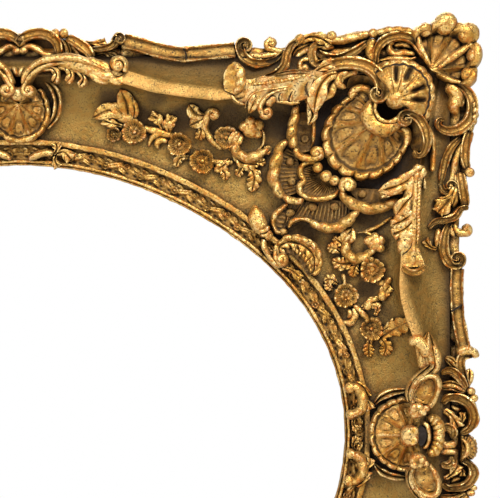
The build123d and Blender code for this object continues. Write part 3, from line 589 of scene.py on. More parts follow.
class NodeBench:
    """A material's node tree, with short ways to add nodes and join them."""

    def __init__(self, name: str) -> None:
        """Starts a material with its surface shader.

        Args:
            name: The material's name.
        """
        self.material = bpy.data.materials.new(name)
        self.material.use_nodes = True
        self.tree = self.material.node_tree
        self.shader = self.tree.nodes["Principled BSDF"]

    def add(self, kind: str, inputs: dict | None = None, **settings: object) -> bpy.types.Node:
        """Adds a node.

        Args:
            kind: The node's type.
            inputs: Values or sockets by input name or number.
            settings: Properties of the node.

        Returns:
            The node.
        """
        node = self.tree.nodes.new(kind)
        for key, value in settings.items():
            setattr(node, key, value)
        for key, value in (inputs or {}).items():
            self.put(node, key, value)
        return node

    def put(self, node: bpy.types.Node, key: str | int, value: object) -> None:
        """Sets an input of a node to a value, or links it to a socket.

        Args:
            node: The node.
            key: The input's name or number.
            value: The value or the socket.
        """
        if isinstance(value, Socket):
            self.tree.links.new(value, node.inputs[key])
        else:
            node.inputs[key].default_value = value

    def math(self, operation: str, a: object, b: object = 0.0) -> Socket:
        """The result of a sum on two values or sockets."""
        return self.add("ShaderNodeMath", {0: a, 1: b}, operation=operation).outputs[0]

    def scaled(self, value: object, gain: float, start: float) -> Socket:
        """A value times a gain, on top of a start."""
        node = self.add("ShaderNodeMath", {0: value, 1: gain, 2: start}, operation="MULTIPLY_ADD")
        return node.outputs[0]

    def surface(self, **inputs: object) -> None:
        """Sets inputs of the surface shader, named with _ for a space."""
        for key, value in inputs.items():
            self.put(self.shader, key.replace("_", " "), value)

    def range(self, value: object, low: float, high: float) -> Socket:
        """A value's place between low and high, held to 0 and 1."""
        node = self.add("ShaderNodeMapRange", {0: value, 1: low, 2: high, 3: 0.0, 4: 1.0})
        return node.outputs[0]

    def mix(self, share: object, a: object, b: object) -> Socket:
        """Mixes two colours.

        Args:
            share: How much of the second colour there is.
            a: The first colour or its socket.
            b: The second colour or its socket.

        Returns:
            The mixed colour.
        """
        node = self.add("ShaderNodeMix", data_type="RGBA")
        self.put(node, 0, share)
        for key, value in ((6, a), (7, b)):
            self.put(node, key, (*value, 1.0) if isinstance(value, tuple) else value)
        return node.outputs[2]

    def noise(self, scale: float, detail: float = 3.0, rough: float = 0.55) -> Socket:
        """Noise over the object's own space.

        Args:
            scale: How many blotches there are to a metre.
            detail: The number of finer layers.
            rough: The strength of the finer layers.

        Returns:
            The noise value.
        """
        place = self.add("ShaderNodeTexCoord").outputs["Object"]
        node = self.add(
            "ShaderNodeTexNoise",
            {"Vector": place, "Scale": scale, "Detail": detail, "Roughness": rough},
        )
        return node.outputs["Fac"]

    def bump(self, height: Socket, strength: float, distance: float) -> None:
        """Adds a bump on top of the one that the surface already has.

        Args:
            height: The bump's height.
            strength: How strongly it shows.
            distance: The height in metres that 1 stands for.
        """
        node = self.add("ShaderNodeBump", {"Height": height, "Strength": strength, "Distance": distance})
        links = self.shader.inputs["Normal"].links
        if links:
            self.tree.links.new(links[0].from_socket, node.inputs["Normal"])
        self.tree.links.new(node.outputs["Normal"], self.shader.inputs["Normal"])


@dataclass(frozen=True)
class GiltFinish:
    """Gold leaf over red clay: rubbed on the high places, dull in the hollows, with painted shade in
    creases.

    The tone attribute of a piece is above 0 where the gold is rubbed bright, falls to -1 where it is
    matt and brown and where shade is painted, and to -2 where it is black, mostly painted shade of deep
    places and creases.
    """

    name: str
    bright: Colour
    body: Colour
    matt: Colour
    roughness: float
    speckle: float
    worn: float
    crease: Trio
    fine: float = 470.0
    clay: Colour = (0.55, 0.17, 0.022)
    cream: Colour = (1.0, 0.80, 0.42)
    dark_wear_and_shade: Colour = (0.016, 0.009, 0.005)

    def material(self) -> bpy.types.Material:
        """Makes the finish.

        Returns:
            The material.
        """
        bench = NodeBench(self.name)
        broad = bench.noise(38.0, 3.0)
        patch = bench.noise(150.0, 4.0, 0.65)
        grain = bench.noise(self.fine, 2.0, 0.55)
        tone = bench.add("ShaderNodeAttribute", attribute_name="tone").outputs["Fac"]
        high = bench.range(bench.add("ShaderNodeNewGeometry").outputs["Pointiness"], 0.5, 0.57)
        rub = bench.math("ADD", bench.math("MULTIPLY", high, 0.5), bench.range(broad, 0.32, 0.72))
        gold = bench.mix(bench.range(rub, 0.2, 1.2), self.body, self.bright)
        gold = bench.mix(bench.range(tone, 0.0, 1.0), gold, self.cream)
        edges = bench.scaled(high, 0.6, 0.45)
        bare = bench.math("MULTIPLY", bench.range(patch, 0.49, 0.57), edges)
        red = bench.math("MULTIPLY", bare, self.worn)
        gold = bench.mix(red, gold, self.clay)
        # Painted highlight: cream glints on the high places where the fine grain and the broad noise are
        # high.
        painted_glint = bench.math("MULTIPLY", bench.range(grain, 0.5, 0.6), bench.range(broad, 0.36, 0.56))
        painted_glint = bench.math("MULTIPLY", painted_glint, bench.math("MULTIPLY", high, 0.75))
        gold = bench.mix(painted_glint, gold, self.cream)
        # Tones below 0 turn the gold matt brown: the matt gilding of the hollows, and the painted shade that
        # the tones carry.
        dull = bench.range(bench.math("ADD", tone, bench.math("MULTIPLY", patch, 0.3)), 0.1, -0.9)
        gold = bench.mix(dull, gold, self.matt)
        # Painted shade: ambient occlusion darkens the creases towards near-black, as do tones below -1; the
        # flecks are wear.
        near = bench.add("ShaderNodeAmbientOcclusion", {"Distance": self.crease[0]}, samples=8)
        hollow = bench.math("ADD", near.outputs["AO"], bench.math("MULTIPLY", grain, 0.45))
        crease_darkening = bench.range(hollow, self.crease[2], self.crease[1])
        black = bench.math("MAXIMUM", crease_darkening, bench.range(tone, -1.0, -2.0))
        fleck = bench.math("MULTIPLY", bench.range(grain, 0.44, 0.36), bench.range(patch, 0.6, 0.46))
        fleck = bench.math("MULTIPLY", fleck, self.speckle)
        black = bench.math("MAXIMUM", black, fleck)
        veiled = bench.math("MAXIMUM", black, bench.math("MULTIPLY", dull, 0.6))
        metal = bench.math("MULTIPLY", bench.math("SUBTRACT", 1.0, veiled), 0.85)
        rough = bench.scaled(patch, 0.3, self.roughness - 0.15)
        rough = bench.math("ADD", rough, bench.math("MULTIPLY", dull, 0.25))
        bench.surface(Base_Color=bench.mix(black, gold, self.dark_wear_and_shade), Metallic=metal, Roughness=rough)
        bench.surface(Specular_IOR_Level=0.3)
        bench.bump(patch, 0.9, 0.0018)
        bench.bump(grain, 0.8, 0.0007)
        return bench.material


ORNAMENT_GOLD = GiltFinish(
    "gilt_ornament_leaf", (0.98, 0.65, 0.20), (0.66, 0.34, 0.055), (0.20, 0.11, 0.031),
    0.36, 0.9, 0.9, (0.006, 0.5, 1.02),
)
HOLLOW_GOLD = GiltFinish(
    "gilt_hollow_sand", (0.46, 0.295, 0.083), (0.31, 0.185, 0.044), (0.12, 0.07, 0.023),
    0.52, 0.75, 0.25, (0.03, 0.4, 1.0), 760.0, cream=(0.70, 0.41, 0.125),
)
MOULDING_GOLD = GiltFinish(
    "gilt_moulding_leaf", (0.88, 0.55, 0.15), (0.54, 0.285, 0.05), (0.22, 0.125, 0.035),
    0.4, 0.9, 0.75, (0.0045, 0.45, 0.97),
)


@dataclass(frozen=True)
class PineFinish:
    """Old pine of the back frame, with its grain along one side."""

    name: str
    along: int
    light: Colour = (0.36, 0.215, 0.105)
    dark: Colour = (0.165, 0.085, 0.036)

    def material(self) -> bpy.types.Material:
        """Makes the finish.

        Returns:
            The material.
        """
        bench = NodeBench(self.name)
        rings = self.streaks(bench, 9.0, 0.9, 1.0)
        fibre = self.streaks(bench, 330.0, 7.0, 3.0)
        lines = bench.range(bench.math("SINE", bench.math("MULTIPLY", rings, 170.0)), -0.3, 1.0)
        blotch = bench.noise(9.0, 4.0)
        tone = bench.math("ADD", bench.math("MULTIPLY", fibre, 0.75), bench.math("MULTIPLY", lines, -0.3))
        colour = bench.mix(bench.range(tone, 0.0, 0.5), self.dark, self.light)
        stain = bench.math("MULTIPLY", bench.range(blotch, 0.5, 0.75), 0.7)
        colour = bench.mix(stain, colour, (0.12, 0.07, 0.035))
        bench.surface(Base_Color=colour, Roughness=bench.scaled(fibre, 0.25, 0.58))
        bench.bump(tone, 0.3, 0.0005)
        return bench.material

    def streaks(self, bench: NodeBench, across: float, along: float, detail: float) -> Socket:
        """Noise that is drawn out along the grain.

        Args:
            bench: The material it is for.
            across: How many streaks there are to a metre across the grain.
            along: How many there are along it.
            detail: The number of finer layers.

        Returns:
            The noise value.
        """
        stretch = [across, across, across]
        stretch[self.along] = along
        place = bench.add("ShaderNodeTexCoord").outputs["Object"]
        drawn = bench.add("ShaderNodeMapping", {"Vector": place, "Scale": stretch}).outputs[0]
        inputs = {"Vector": drawn, "Scale": 1.0, "Detail": detail, "Roughness": 0.55}
        return bench.add("ShaderNodeTexNoise", inputs).outputs["Fac"]


@dataclass(frozen=True)
class MetalFinish:
    """Handled brass or steel with tarnish in its hollows."""

    name: str
    clean: Colour
    tarnish: Colour
    roughness: float

    def material(self) -> bpy.types.Material:
        """Makes the finish.

        Returns:
            The material.
        """
        bench = NodeBench(self.name)
        blotch = bench.noise(140.0, 5.0, 0.6)
        scratch = bench.noise(1600.0, 2.0)
        open_air = bench.add("ShaderNodeAmbientOcclusion", {"Distance": 0.004}, samples=6)
        crease_darkening = bench.math("SUBTRACT", 1.25, open_air.outputs["AO"])
        share = bench.math("MULTIPLY", bench.range(blotch, 0.42, 0.66), 0.7)
        dull = bench.math("MAXIMUM", share, bench.range(crease_darkening, 0.45, 1.0))
        colour = bench.mix(dull, self.clean, self.tarnish)
        rough = bench.scaled(blotch, 0.3, self.roughness - 0.12)
        bench.surface(Base_Color=colour, Metallic=1.0, Roughness=rough)
        bench.bump(scratch, 0.12, 0.0002)
        return bench.material


@dataclass(frozen=True)
class FeltFinish:
    """Grey-green wool felt of the wall bumpers."""

    name: str

    def material(self) -> bpy.types.Material:
        """Makes the finish.

        Returns:
            The material.
        """
        bench = NodeBench(self.name)
        fluff = bench.noise(900.0, 5.0, 0.7)
        cloud = bench.noise(160.0, 3.0)
        colour = bench.mix(bench.range(fluff, 0.3, 0.7), (0.03, 0.045, 0.034), (0.10, 0.125, 0.095))
        colour = bench.mix(bench.math("MULTIPLY", cloud, 0.3), colour, (0.13, 0.13, 0.11))
        bench.surface(Base_Color=colour, Roughness=0.95, Sheen_Weight=0.4)
        bench.bump(fluff, 0.8, 0.0012)
        return bench.material


class FinishShelf:
    """Keeps one material of every finish."""

    made: dict[str, bpy.types.Material] = {}

    @classmethod
    def get(cls, finish: GiltFinish | PineFinish | MetalFinish | FeltFinish) -> bpy.types.Material:
        """Finds the material of a finish, and makes it when it is first asked for.

        Args:
            finish: The finish.

        Returns:
            The material.
        """
        if finish.name not in cls.made:
            cls.made[finish.name] = finish.material()
        return cls.made[finish.name]


@dataclass
class Carving:
    """Relief sheets that are joined into one closed piece of the frame."""

    name: str
    finish: GiltFinish
    slot: str
    sheets: Sheets = field(default_factory=list)
    crease: float = 48.0
    uneven: float = 1.0

    def carve(self) -> Piece:
        """Makes the piece from a grid for every sheet, joined, welded and shaded.

        Returns:
            The finished piece.
        """
        bpy.ops.object.select_all(action="DESELECT")
        grids = []
        for sheet in self.sheets:
            rows, columns = sheet.shape[:2]
            bpy.ops.mesh.primitive_grid_add(
                x_subdivisions=columns - 1, y_subdivisions=rows - 1, size=1.0, calc_uvs=False
            )
            grid = bpy.context.object
            place = np.stack([sheet[..., 0], -sheet[..., 2], sheet[..., 1]], axis=-1) * MILLIMETRE
            grid.data.vertices.foreach_set("co", place.astype(np.float32).ravel())
            layer = grid.data.attributes.new("tone", "FLOAT", "POINT")
            layer.data.foreach_set("value", sheet[..., 3].astype(np.float32).ravel())
            grid.data.update()
            grids.append(grid)
        for grid in grids:
            grid.select_set(True)
        bpy.context.view_layer.objects.active = grids[0]
        if len(grids) > 1:
            bpy.ops.object.join()
        piece = bpy.context.object
        self.weld()
        self.tool(piece)
        piece.name = self.name
        piece.data.name = self.name
        return self.dress(piece)

    def tool(self, piece: Piece) -> None:
        """Leaves the small unevenness of hand carving and thick gesso on the surface.

        Args:
            piece: The piece, which is changed.
        """
        if not self.uneven:
            return
        mesh = piece.data
        place = np.zeros(len(mesh.vertices) * 3, dtype=np.float32)
        normal = np.zeros_like(place)
        mesh.vertices.foreach_get("co", place)
        mesh.vertices.foreach_get("normal", normal)
        place, normal = place.reshape(-1, 3), normal.reshape(-1, 3)
        draw = np.random.default_rng(TOOL_SEED)
        shift = np.zeros(len(place))
        for low, high, size in TOOL_MARKS:
            for _ in range(TOOL_WAVES):
                way = draw.normal(size=3)
                way *= 2 * math.pi / draw.uniform(low, high) / np.linalg.norm(way)
                shift += size * np.sin(place @ way + draw.uniform(0.0, 6.28)) / TOOL_WAVES**0.5
        place += normal * (self.uneven * MILLIMETRE * shift)[:, None]
        mesh.vertices.foreach_set("co", place.astype(np.float32).ravel())
        mesh.update()

    def weld(self) -> None:
        """Joins the seams, drops what has no area and turns all faces outwards."""
        bpy.ops.object.mode_set(mode="EDIT")
        bpy.ops.mesh.select_all(action="SELECT")
        bpy.ops.mesh.remove_doubles(threshold=SEAM_GAP)
        bpy.ops.mesh.dissolve_degenerate(threshold=LEAST_EDGE)
        bpy.ops.mesh.select_all(action="SELECT")
        bpy.ops.mesh.normals_make_consistent(inside=False)
        bpy.ops.object.mode_set(mode="OBJECT")
        bpy.ops.object.shade_smooth_by_angle(angle=math.radians(self.crease))

    def dress(self, piece: Piece) -> Piece:
        """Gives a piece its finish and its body.

        Args:
            piece: The piece.

        Returns:
            The same piece.
        """
        piece.data.materials.clear()
        piece.data.materials.append(FinishShelf.get(self.finish))
        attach(piece, "body")
        return piece

    def flipped(self, piece: Piece, name: str, x: int, z: int) -> Piece:
        """Copies a piece to the other side.

        Args:
            piece: The piece that is copied.
            name: The copy's name.
            x: -1 to flip it left to right.
            z: -1 to flip it top to bottom.

        Returns:
            The copy, with a mesh of its own.
        """
        bpy.ops.object.select_all(action="DESELECT")
        piece.select_set(True)
        bpy.context.view_layer.objects.active = piece
        bpy.ops.object.duplicate(linked=False)
        copy = bpy.context.object
        place = np.zeros(len(copy.data.vertices) * 3, dtype=np.float32)
        copy.data.vertices.foreach_get("co", place)
        place = place.reshape(-1, 3) * np.array([x, 1, z], dtype=np.float32)
        copy.data.vertices.foreach_set("co", place.ravel())
        if x * z < 0:
            copy.data.flip_normals()
        copy.data.update()
        copy.name = name
        copy.data.name = name
        return self.dress(copy)


@dataclass
class CornerOrnament:
    """An ornament that stands at every corner, carved for the top right one."""

    node: str = ""
    finish: GiltFinish = ORNAMENT_GOLD
    slot: str = "gilt_ornament"

    def sheets(self) -> Sheets:
        """The sheets of the top right ornament."""
        raise NotImplementedError

    def make(self) -> list[Piece]:
        """Carves the ornament and copies it to the other corners.

        Returns:
            The four pieces.
        """
        made = []
        carving = Carving(f"carved_{self.node}_top_right", self.finish, self.slot, self.sheets())
        for place in Corner:
            suffix, x, z = place.value
            if made:
                piece = carving.flipped(made[0], f"carved_{self.node}_{suffix}", x, z)
            else:
                piece = carving.carve()
            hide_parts(f"{self.node}_{suffix}")
            made.append(piece)
        return made


@dataclass
class SideOrnament:
    """An ornament at the middle of every side, carved for the top and the right one."""

    node: str = ""
    finish: GiltFinish = ORNAMENT_GOLD
    slot: str = "gilt_ornament"

    def top_sheets(self) -> Sheets:
        """The sheets of the top ornament, to the right of its middle."""
        raise NotImplementedError

    def right_sheets(self) -> Sheets:
        """The sheets of the right ornament, above its middle."""
        raise NotImplementedError

    def whole_right(self) -> Sheets:
        """The sheets of the whole right ornament."""
        return mirrored(self.right_sheets(), 1)

    def make(self) -> list[Piece]:
        """Carves the two ornaments and copies them to the opposite sides.

        Returns:
            The four pieces.
        """
        made = []
        plans = (
            ("top", mirrored(self.top_sheets(), 0), "bottom", 1, -1),
            ("right", self.whole_right(), "left", -1, 1),
        )
        for side, sheets, opposite, x, z in plans:
            carving = Carving(f"carved_{self.node}_{side}", self.finish, self.slot, sheets)
            piece = carving.carve()
            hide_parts(f"{self.node}_{side}")
            copy = carving.flipped(piece, f"carved_{self.node}_{opposite}", x, z)
            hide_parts(f"{self.node}_{opposite}")
            made += [piece, copy]
        return made


@dataclass
class HollowMouldings:
    """The four swept hollows: a cove up to a raised ridge, and a smaller cove to the edge."""

    ridge_rise: float = 37.0
    corner_rise: float = 11.0
    stations: int = 97
    top_band: float = 12.0
    side_band: float = 9.5
    crisp_from: Pair = (0.17, 0.27)
    crisp_to: Pair = (0.56, 0.68)
    shoulder_fall: float = 2.4
    edge_rise: float = 16.0
    outer_dip: float = 9.0
    lip_height: float = 2.6
    # Round the deep void beside each corner shell the hollow is toned black: painted shade of the recess.
    void: Pair = (300.0, 259.0)
    void_reach: Pair = (44.0, 66.0)
    void_painted_shade: float = 2.6
    # Spots of painted shadow in the cove round the sprays, scrolls and leaves that stand over it, as (x, z,
    # reach, strength); the spot with a negative strength is a painted pool of light.
    painted_shade_spots: tuple[tuple[float, float, float, float], ...] = (
        (82, 307, 15, 1.1), (111, 291, 15, 1.3), (148, 289, 18, 1.4), (180, 282, 12, 1.3),
        (193, 293, 17, 1.1), (236, 283, 20, 1.6), (220, 236, 11, 0.7), (227, 206, 10, 1),
        (265, 185, 17, 1.3), (319, 197, 16, 1.3), (318, 133, 15, 1.3), (336, 112, 12, 0.8),
        (386, 300, 14, -0.7), (125, 308, 15, 0.8), (165, 302, 15, 0.8),
    )

    def ridge_line(self, side: Side) -> tuple[np.ndarray, np.ndarray]:
        """The outer line of a side's ridge.

        Args:
            side: Which side it is on.

        Returns:
            The places along the side and the distances from the frame's middle.
        """
        if side.level:
            along = [0, 70, 98, 128, 158, 188, 211, 240, 284, 310, 345, 400]
            away = [336, 336, 332, 322.5, 317.5, 314, 316, 320, 329, 335, 339, 341]
        else:
            along = [0, 50, 80, 96, 112, 128, 143, 170, 200, 230, 260, 290, 350]
            away = [374, 373, 371, 367, 360.6, 356, 354.2, 355.6, 359.5, 365, 373, 380, 389]
        return np.array(along, dtype=float), np.array(away, dtype=float)

    def ends(self, side: Side, u: float) -> tuple[np.ndarray, np.ndarray]:
        """The inner and outer end of a section.

        Args:
            side: Which side it is on.
            u: From -1 at the side's first corner to 1 at its last, counter-clockwise.

        Returns:
            The two (x, z) points.
        """
        inner = oval(90.0 * side + 45.0 * u, SIGHT_MOULDING_WIDTH)
        outer = ((1, u), (-u, 1), (-1, -u), (u, -1))[side]
        return inner, np.array(outer) * np.array([HOLLOW_HALF_WIDTH, HOLLOW_HALF_HEIGHT])

    def ridge_at(self, side: Side, inner: np.ndarray, outer: np.ndarray) -> float:
        """How far along a section its ridge ends.

        Args:
            side: Which side it is on.
            inner: The section's inner end.
            outer: Its outer end.

        Returns:
            The distance from the inner end.
        """
        share = np.linspace(0.25, 1.0, 400)
        ray = np.abs(inner[None, :] + share[:, None] * (outer - inner)[None, :])
        along, away = self.ridge_line(side)
        place, height = (ray[:, 0], ray[:, 1]) if side.level else (ray[:, 1], ray[:, 0])
        over = height - np.interp(place, along, away)
        return float(np.interp(0.0, over, share)) * float(np.hypot(*(outer - inner)))

    def profile(self, side: Side, u: float, end: float, width: float) -> tuple[np.ndarray, np.ndarray]:
        """The section of the hollow.

        Args:
            side: Which side it is on.
            u: The place along the side.
            end: The outer end of its ridge.
            width: The length of the section.

        Returns:
            The (along, depth) points of its face and their tones.
        """
        crisp = float(smooth(abs(u), *self.crisp_from) * (1.0 - smooth(abs(u), *self.crisp_to)))
        level = self.ridge_rise + (self.corner_rise - self.ridge_rise) * float(smooth(abs(u), 0.7, 1.0))
        level *= 0.7 + 0.3 * crisp
        top = BACK_FRONT + level
        band = (self.top_band if side.level else self.side_band) * (0.75 + 0.25 * crisp)
        start = end - band
        shoulder = top - self.shoulder_fall
        edge = BACK_FRONT + min(self.edge_rise, level)
        dip = min(shoulder, edge) - self.outer_dip * level / self.ridge_rise
        lip = self.lip_height * crisp + 0.4
        foot = start + 0.6
        cove = bow(24, (8.0, FLOOR_DEPTH), (foot, FLOOR_DEPTH), (foot, top - 1.5 * lip))
        ridge = np.array(
            [
                [start - 0.4, top - 1.2 * lip], [start - 0.8 * crisp, top - 0.6 * lip],
                [start - 0.3 * crisp, top - 0.1 * lip], [start + 0.9, top + 0.1],
                [start + 0.3 * band, top - 0.4], [start + 0.6 * band, top - 1.5],
                [start + 0.85 * band, shoulder - 0.4], [end, shoulder - 1.2],
            ]
        )
        outer = bow(13, (end, shoulder - 1.2), ((end + width) / 2, dip), (width, edge))
        face = np.vstack([[[0.3, FLOOR_DEPTH]], cove, ridge, outer[1:]])
        # Tones: painted shade at the cove's inner edge, growing towards the foot of the ridge and darkest
        # under its lip; the ridge band rubbed bright; painted shadow of the rail over the outer cove, deeper
        # on the top and the bottom.
        run = np.linspace(0.0, 1.0, 12)
        painted_rail_shadow = -0.35 * run - 1.2 * run**6 - (0.75 * run**0.5 if side.level else 0.0)
        over = [-0.9, -0.2, 0.9, 1.0, 0.9, 0.65, 0.35, 0.1]
        tone = np.concatenate([[-0.6], -0.2 * np.linspace(0.0, 1.0, 24) ** 2, over, painted_rail_shadow])
        return face, np.where(tone > 0.0, tone * crisp, tone)

    def station(self, side: Side, u: float) -> np.ndarray:
        """Lays one section on the face.

        Args:
            side: Which side it is on.
            u: The place along the side.

        Returns:
            The (x, z, depth, tone) points.
        """
        inner, outer = self.ends(side, u)
        ray = outer - inner
        width = float(np.hypot(*ray))
        face, tone = self.profile(side, u, self.ridge_at(side, inner, outer), width)
        place = inner[None, :] + face[:, :1] / width * ray[None, :]
        # Painted shade: black round the deep void beside each corner shell.
        away = np.hypot(np.abs(place[:, 0]) - self.void[0], np.abs(place[:, 1]) - self.void[1])
        tone = tone - self.void_painted_shade * (1.0 - smooth(away, *self.void_reach))
        # Darker at the spots of painted shadow, and lighter at the one painted pool of light.
        for x, z, reach, depth in self.painted_shade_spots:
            near = np.hypot(np.abs(place[:, 0]) - x, np.abs(place[:, 1]) - z)
            tone = tone - depth * (1.0 - smooth(near, 0.3 * reach, reach))
        return np.concatenate([place, face[:, 1:], tone[:, None]], axis=1)

    def surface(self) -> np.ndarray:
        """Lays out the top right quarter's face, so that ornament can lie on it.

        Returns:
            The (x, z, depth, tone) points.
        """
        rows = [self.station(Side.RIGHT, u) for u in np.linspace(-0.1, 1.0, 70)]
        rows += [self.station(Side.TOP, u) for u in np.linspace(-1.0, 0.1, 70)]
        return np.concatenate(rows)

    def make(self) -> Piece:
        """Makes the hollow round all four sides.

        Returns:
            The piece.
        """
        rows = []
        for side in Side:
            for u in np.linspace(-1.0, 1.0, self.stations)[:-1]:
                face = self.station(side, float(u))
                back = face[[-1, 0]].copy()
                back[:, 2] = BACK_FRONT + 0.2
                rows.append(np.vstack([face, back, face[:1]]))
        rows.append(rows[0])
        carving = Carving("hollow_mouldings", HOLLOW_GOLD, "gilt_hollow", [np.stack(rows)], 40.0, 0.0)
        piece = carving.carve()
        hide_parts("hollow_top", "hollow_bottom", "hollow_left", "hollow_right")
        return piece


HOLLOW = HollowMouldings()
COVE = HOLLOW.surface()


@dataclass(frozen=True)
class Draught:
    """A working drawing of one area of the face, in units of its own from its top left."""

    left: float
    top: float
    unit: float

    def place(self, x: float, y: float) -> Pair:
        """The face point of a point of the drawing."""
        return self.left + self.unit * x, self.top - self.unit * y

    def lay(self, points: Points, depth: float, bed: bool = False) -> np.ndarray:
        """Lays points of the drawing on the face.

        Args:
            points: (across, down) pairs, with an optional extra lift.
            depth: Their depth, or their height above the cove.
            bed: True where the depth counts from the cove.

        Returns:
            The points on the face.
        """
        laid = []
        for given in points:
            x, z = self.place(given[0], given[1])
            level = depth + (given[2] if len(given) > 2 else 0.0)
            if bed:
                near = np.argsort(np.hypot(COVE[:, 0] - x, COVE[:, 1] - z))[:4]
                level += float(np.mean(COVE[near, 2]))
            laid.append((x, z, level))
        return np.asarray(laid)


TOP_MIDDLE = Draught(-18.3, 398.0, 0.0994)
TOP_EDGE = Draught(128.4, 398.0, 0.0994)
CORNER = Draught(275.1, 398.0, 0.1053)
SCROLLS = Draught(165.1, 287.9, 0.1170)
RIGHT_EDGE = Draught(275.1, 232.9, 0.1053)
RIGHT_MIDDLE = Draught(275.1, 95.4, 0.1053)
TOP_COVE = Draught(0.0, 343.0, 0.1170)


@dataclass(frozen=True)
class Stroke:
    """One scroll of the carving on a working drawing; its sizes are in millimetres."""

    points: Points
    width: float
    depth: float = 36.0
    height: float = 6.5
    ends: Pair = (0.6, 0.5)
    drop: float = 10.0
    section: Section = ROUND
    ruffle: Pair = (0.0, 0.0)
    eye: tuple[float, float, float, float, float] | None = None
    bed: bool = False
    blunt: float = 0.8

    def carve(self, sheet: Draught) -> Sheets:
        """Carves the scroll, with its volute where it has one.

        Args:
            sheet: The working drawing.

        Returns:
            The closed sheets.
        """
        laid = sheet.lay(self.points, self.depth, self.bed)
        path = curve(laid, 1.2)
        if self.ruffle[0]:
            length = 1.2 * len(path)
            path = curve(laid, float(np.clip(length / self.ruffle[0] / 9.0, 0.35, 1.2)))
        eyes = []
        if self.eye is not None:
            x, y, start, turns, outer = self.eye
            centre = np.array([*sheet.place(x, y), path[-1, 2] + 3.0])
            path = np.vstack([path, coil(centre, start, turns, outer, outer * 0.2, 3.0)])
            eyes = [bead(centre + np.array([0.0, 0.0, 2.0]), outer * 0.42)]
        run = sweep(
            path, self.width, self.height, self.section, self.drop, self.ends, self.ruffle, self.blunt,
        )
        return [run, *eyes]


@dataclass(frozen=True)
class Frond:
    """One leaf of the carving on a working drawing; its sizes are in millimetres."""

    points: Points
    width: float
    depth: float = 36.0
    lobes: int = 2
    rise: float = 5.0
    drop: float = 14.0
    lean: float = 0.8
    stem: float = 0.5
    fullest: float = 0.85
    bed: bool = False

    def carve(self, sheet: Draught) -> Sheets:
        """Carves the leaf."""
        line = sheet.lay(self.points, self.depth, self.bed)
        return [leaf(line, self.width, self.lobes, self.rise, self.drop, self.lean, self.stem, self.fullest)]


@dataclass(frozen=True)
class Knob:
    """A bead or button of the carving on a working drawing; its radius is in millimetres."""

    x: float
    y: float
    radius: float
    depth: float = 38.0
    flat: float = 1.0
    sunk: float = 0.0
    bed: bool = False
    tone: float = 0.0

    def carve(self, sheet: Draught) -> Sheets:
        """Carves the bead."""
        centre = sheet.lay([(self.x, self.y)], self.depth, self.bed)[0]
        return [bead(centre, self.radius, self.flat, self.sunk, self.tone)]


@dataclass(frozen=True)
class Bloom:
    """A flower of the carving on a working drawing; its radius is in millimetres."""

    x: float
    y: float
    radius: float
    depth: float = 3.0
    petals: int = 12
    rise: float = 7.0
    bed: bool = True

    def carve(self, sheet: Draught) -> Sheets:
        """Carves the flower."""
        seat = sheet.lay([(self.x, self.y)], self.depth, self.bed)[0]
        return [flower(seat, self.radius, self.petals, self.rise, self.x * 7.0)]


@dataclass(frozen=True)
class Hatch:
    """A ribbed ground of the carving between two lines of a working drawing."""

    outer: Points
    inner: Points
    ribs: float
    depth: float
    relief: float = 0.3
    drop: float = 4.0
    tone: float = -1.0

    def carve(self, sheet: Draught) -> Sheets:
        """Carves the ground."""
        outer, inner = (sheet.lay(line, self.depth) for line in (self.outer, self.inner))
        return [hatched(outer, inner, self.ribs, self.relief, self.drop, self.tone)]


Marks = tuple[Stroke | Frond | Knob | Bloom | Hatch, ...]


def carve_all(sheet: Draught, marks: Marks) -> Sheets:
    """Carves everything that a working drawing shows.

    Args:
        sheet: The working drawing.
        marks: What is drawn on it.

    Returns:
        The closed sheets.
    """
    return [made for mark in marks for made in mark.carve(sheet)]


def plinth(points: Points, width: float, drop: float, spacing: float) -> np.ndarray:
    """The plain strip that carries the ornament of an edge."""
    return sweep(curve(points, spacing), width, 3.0, ROUND, drop)


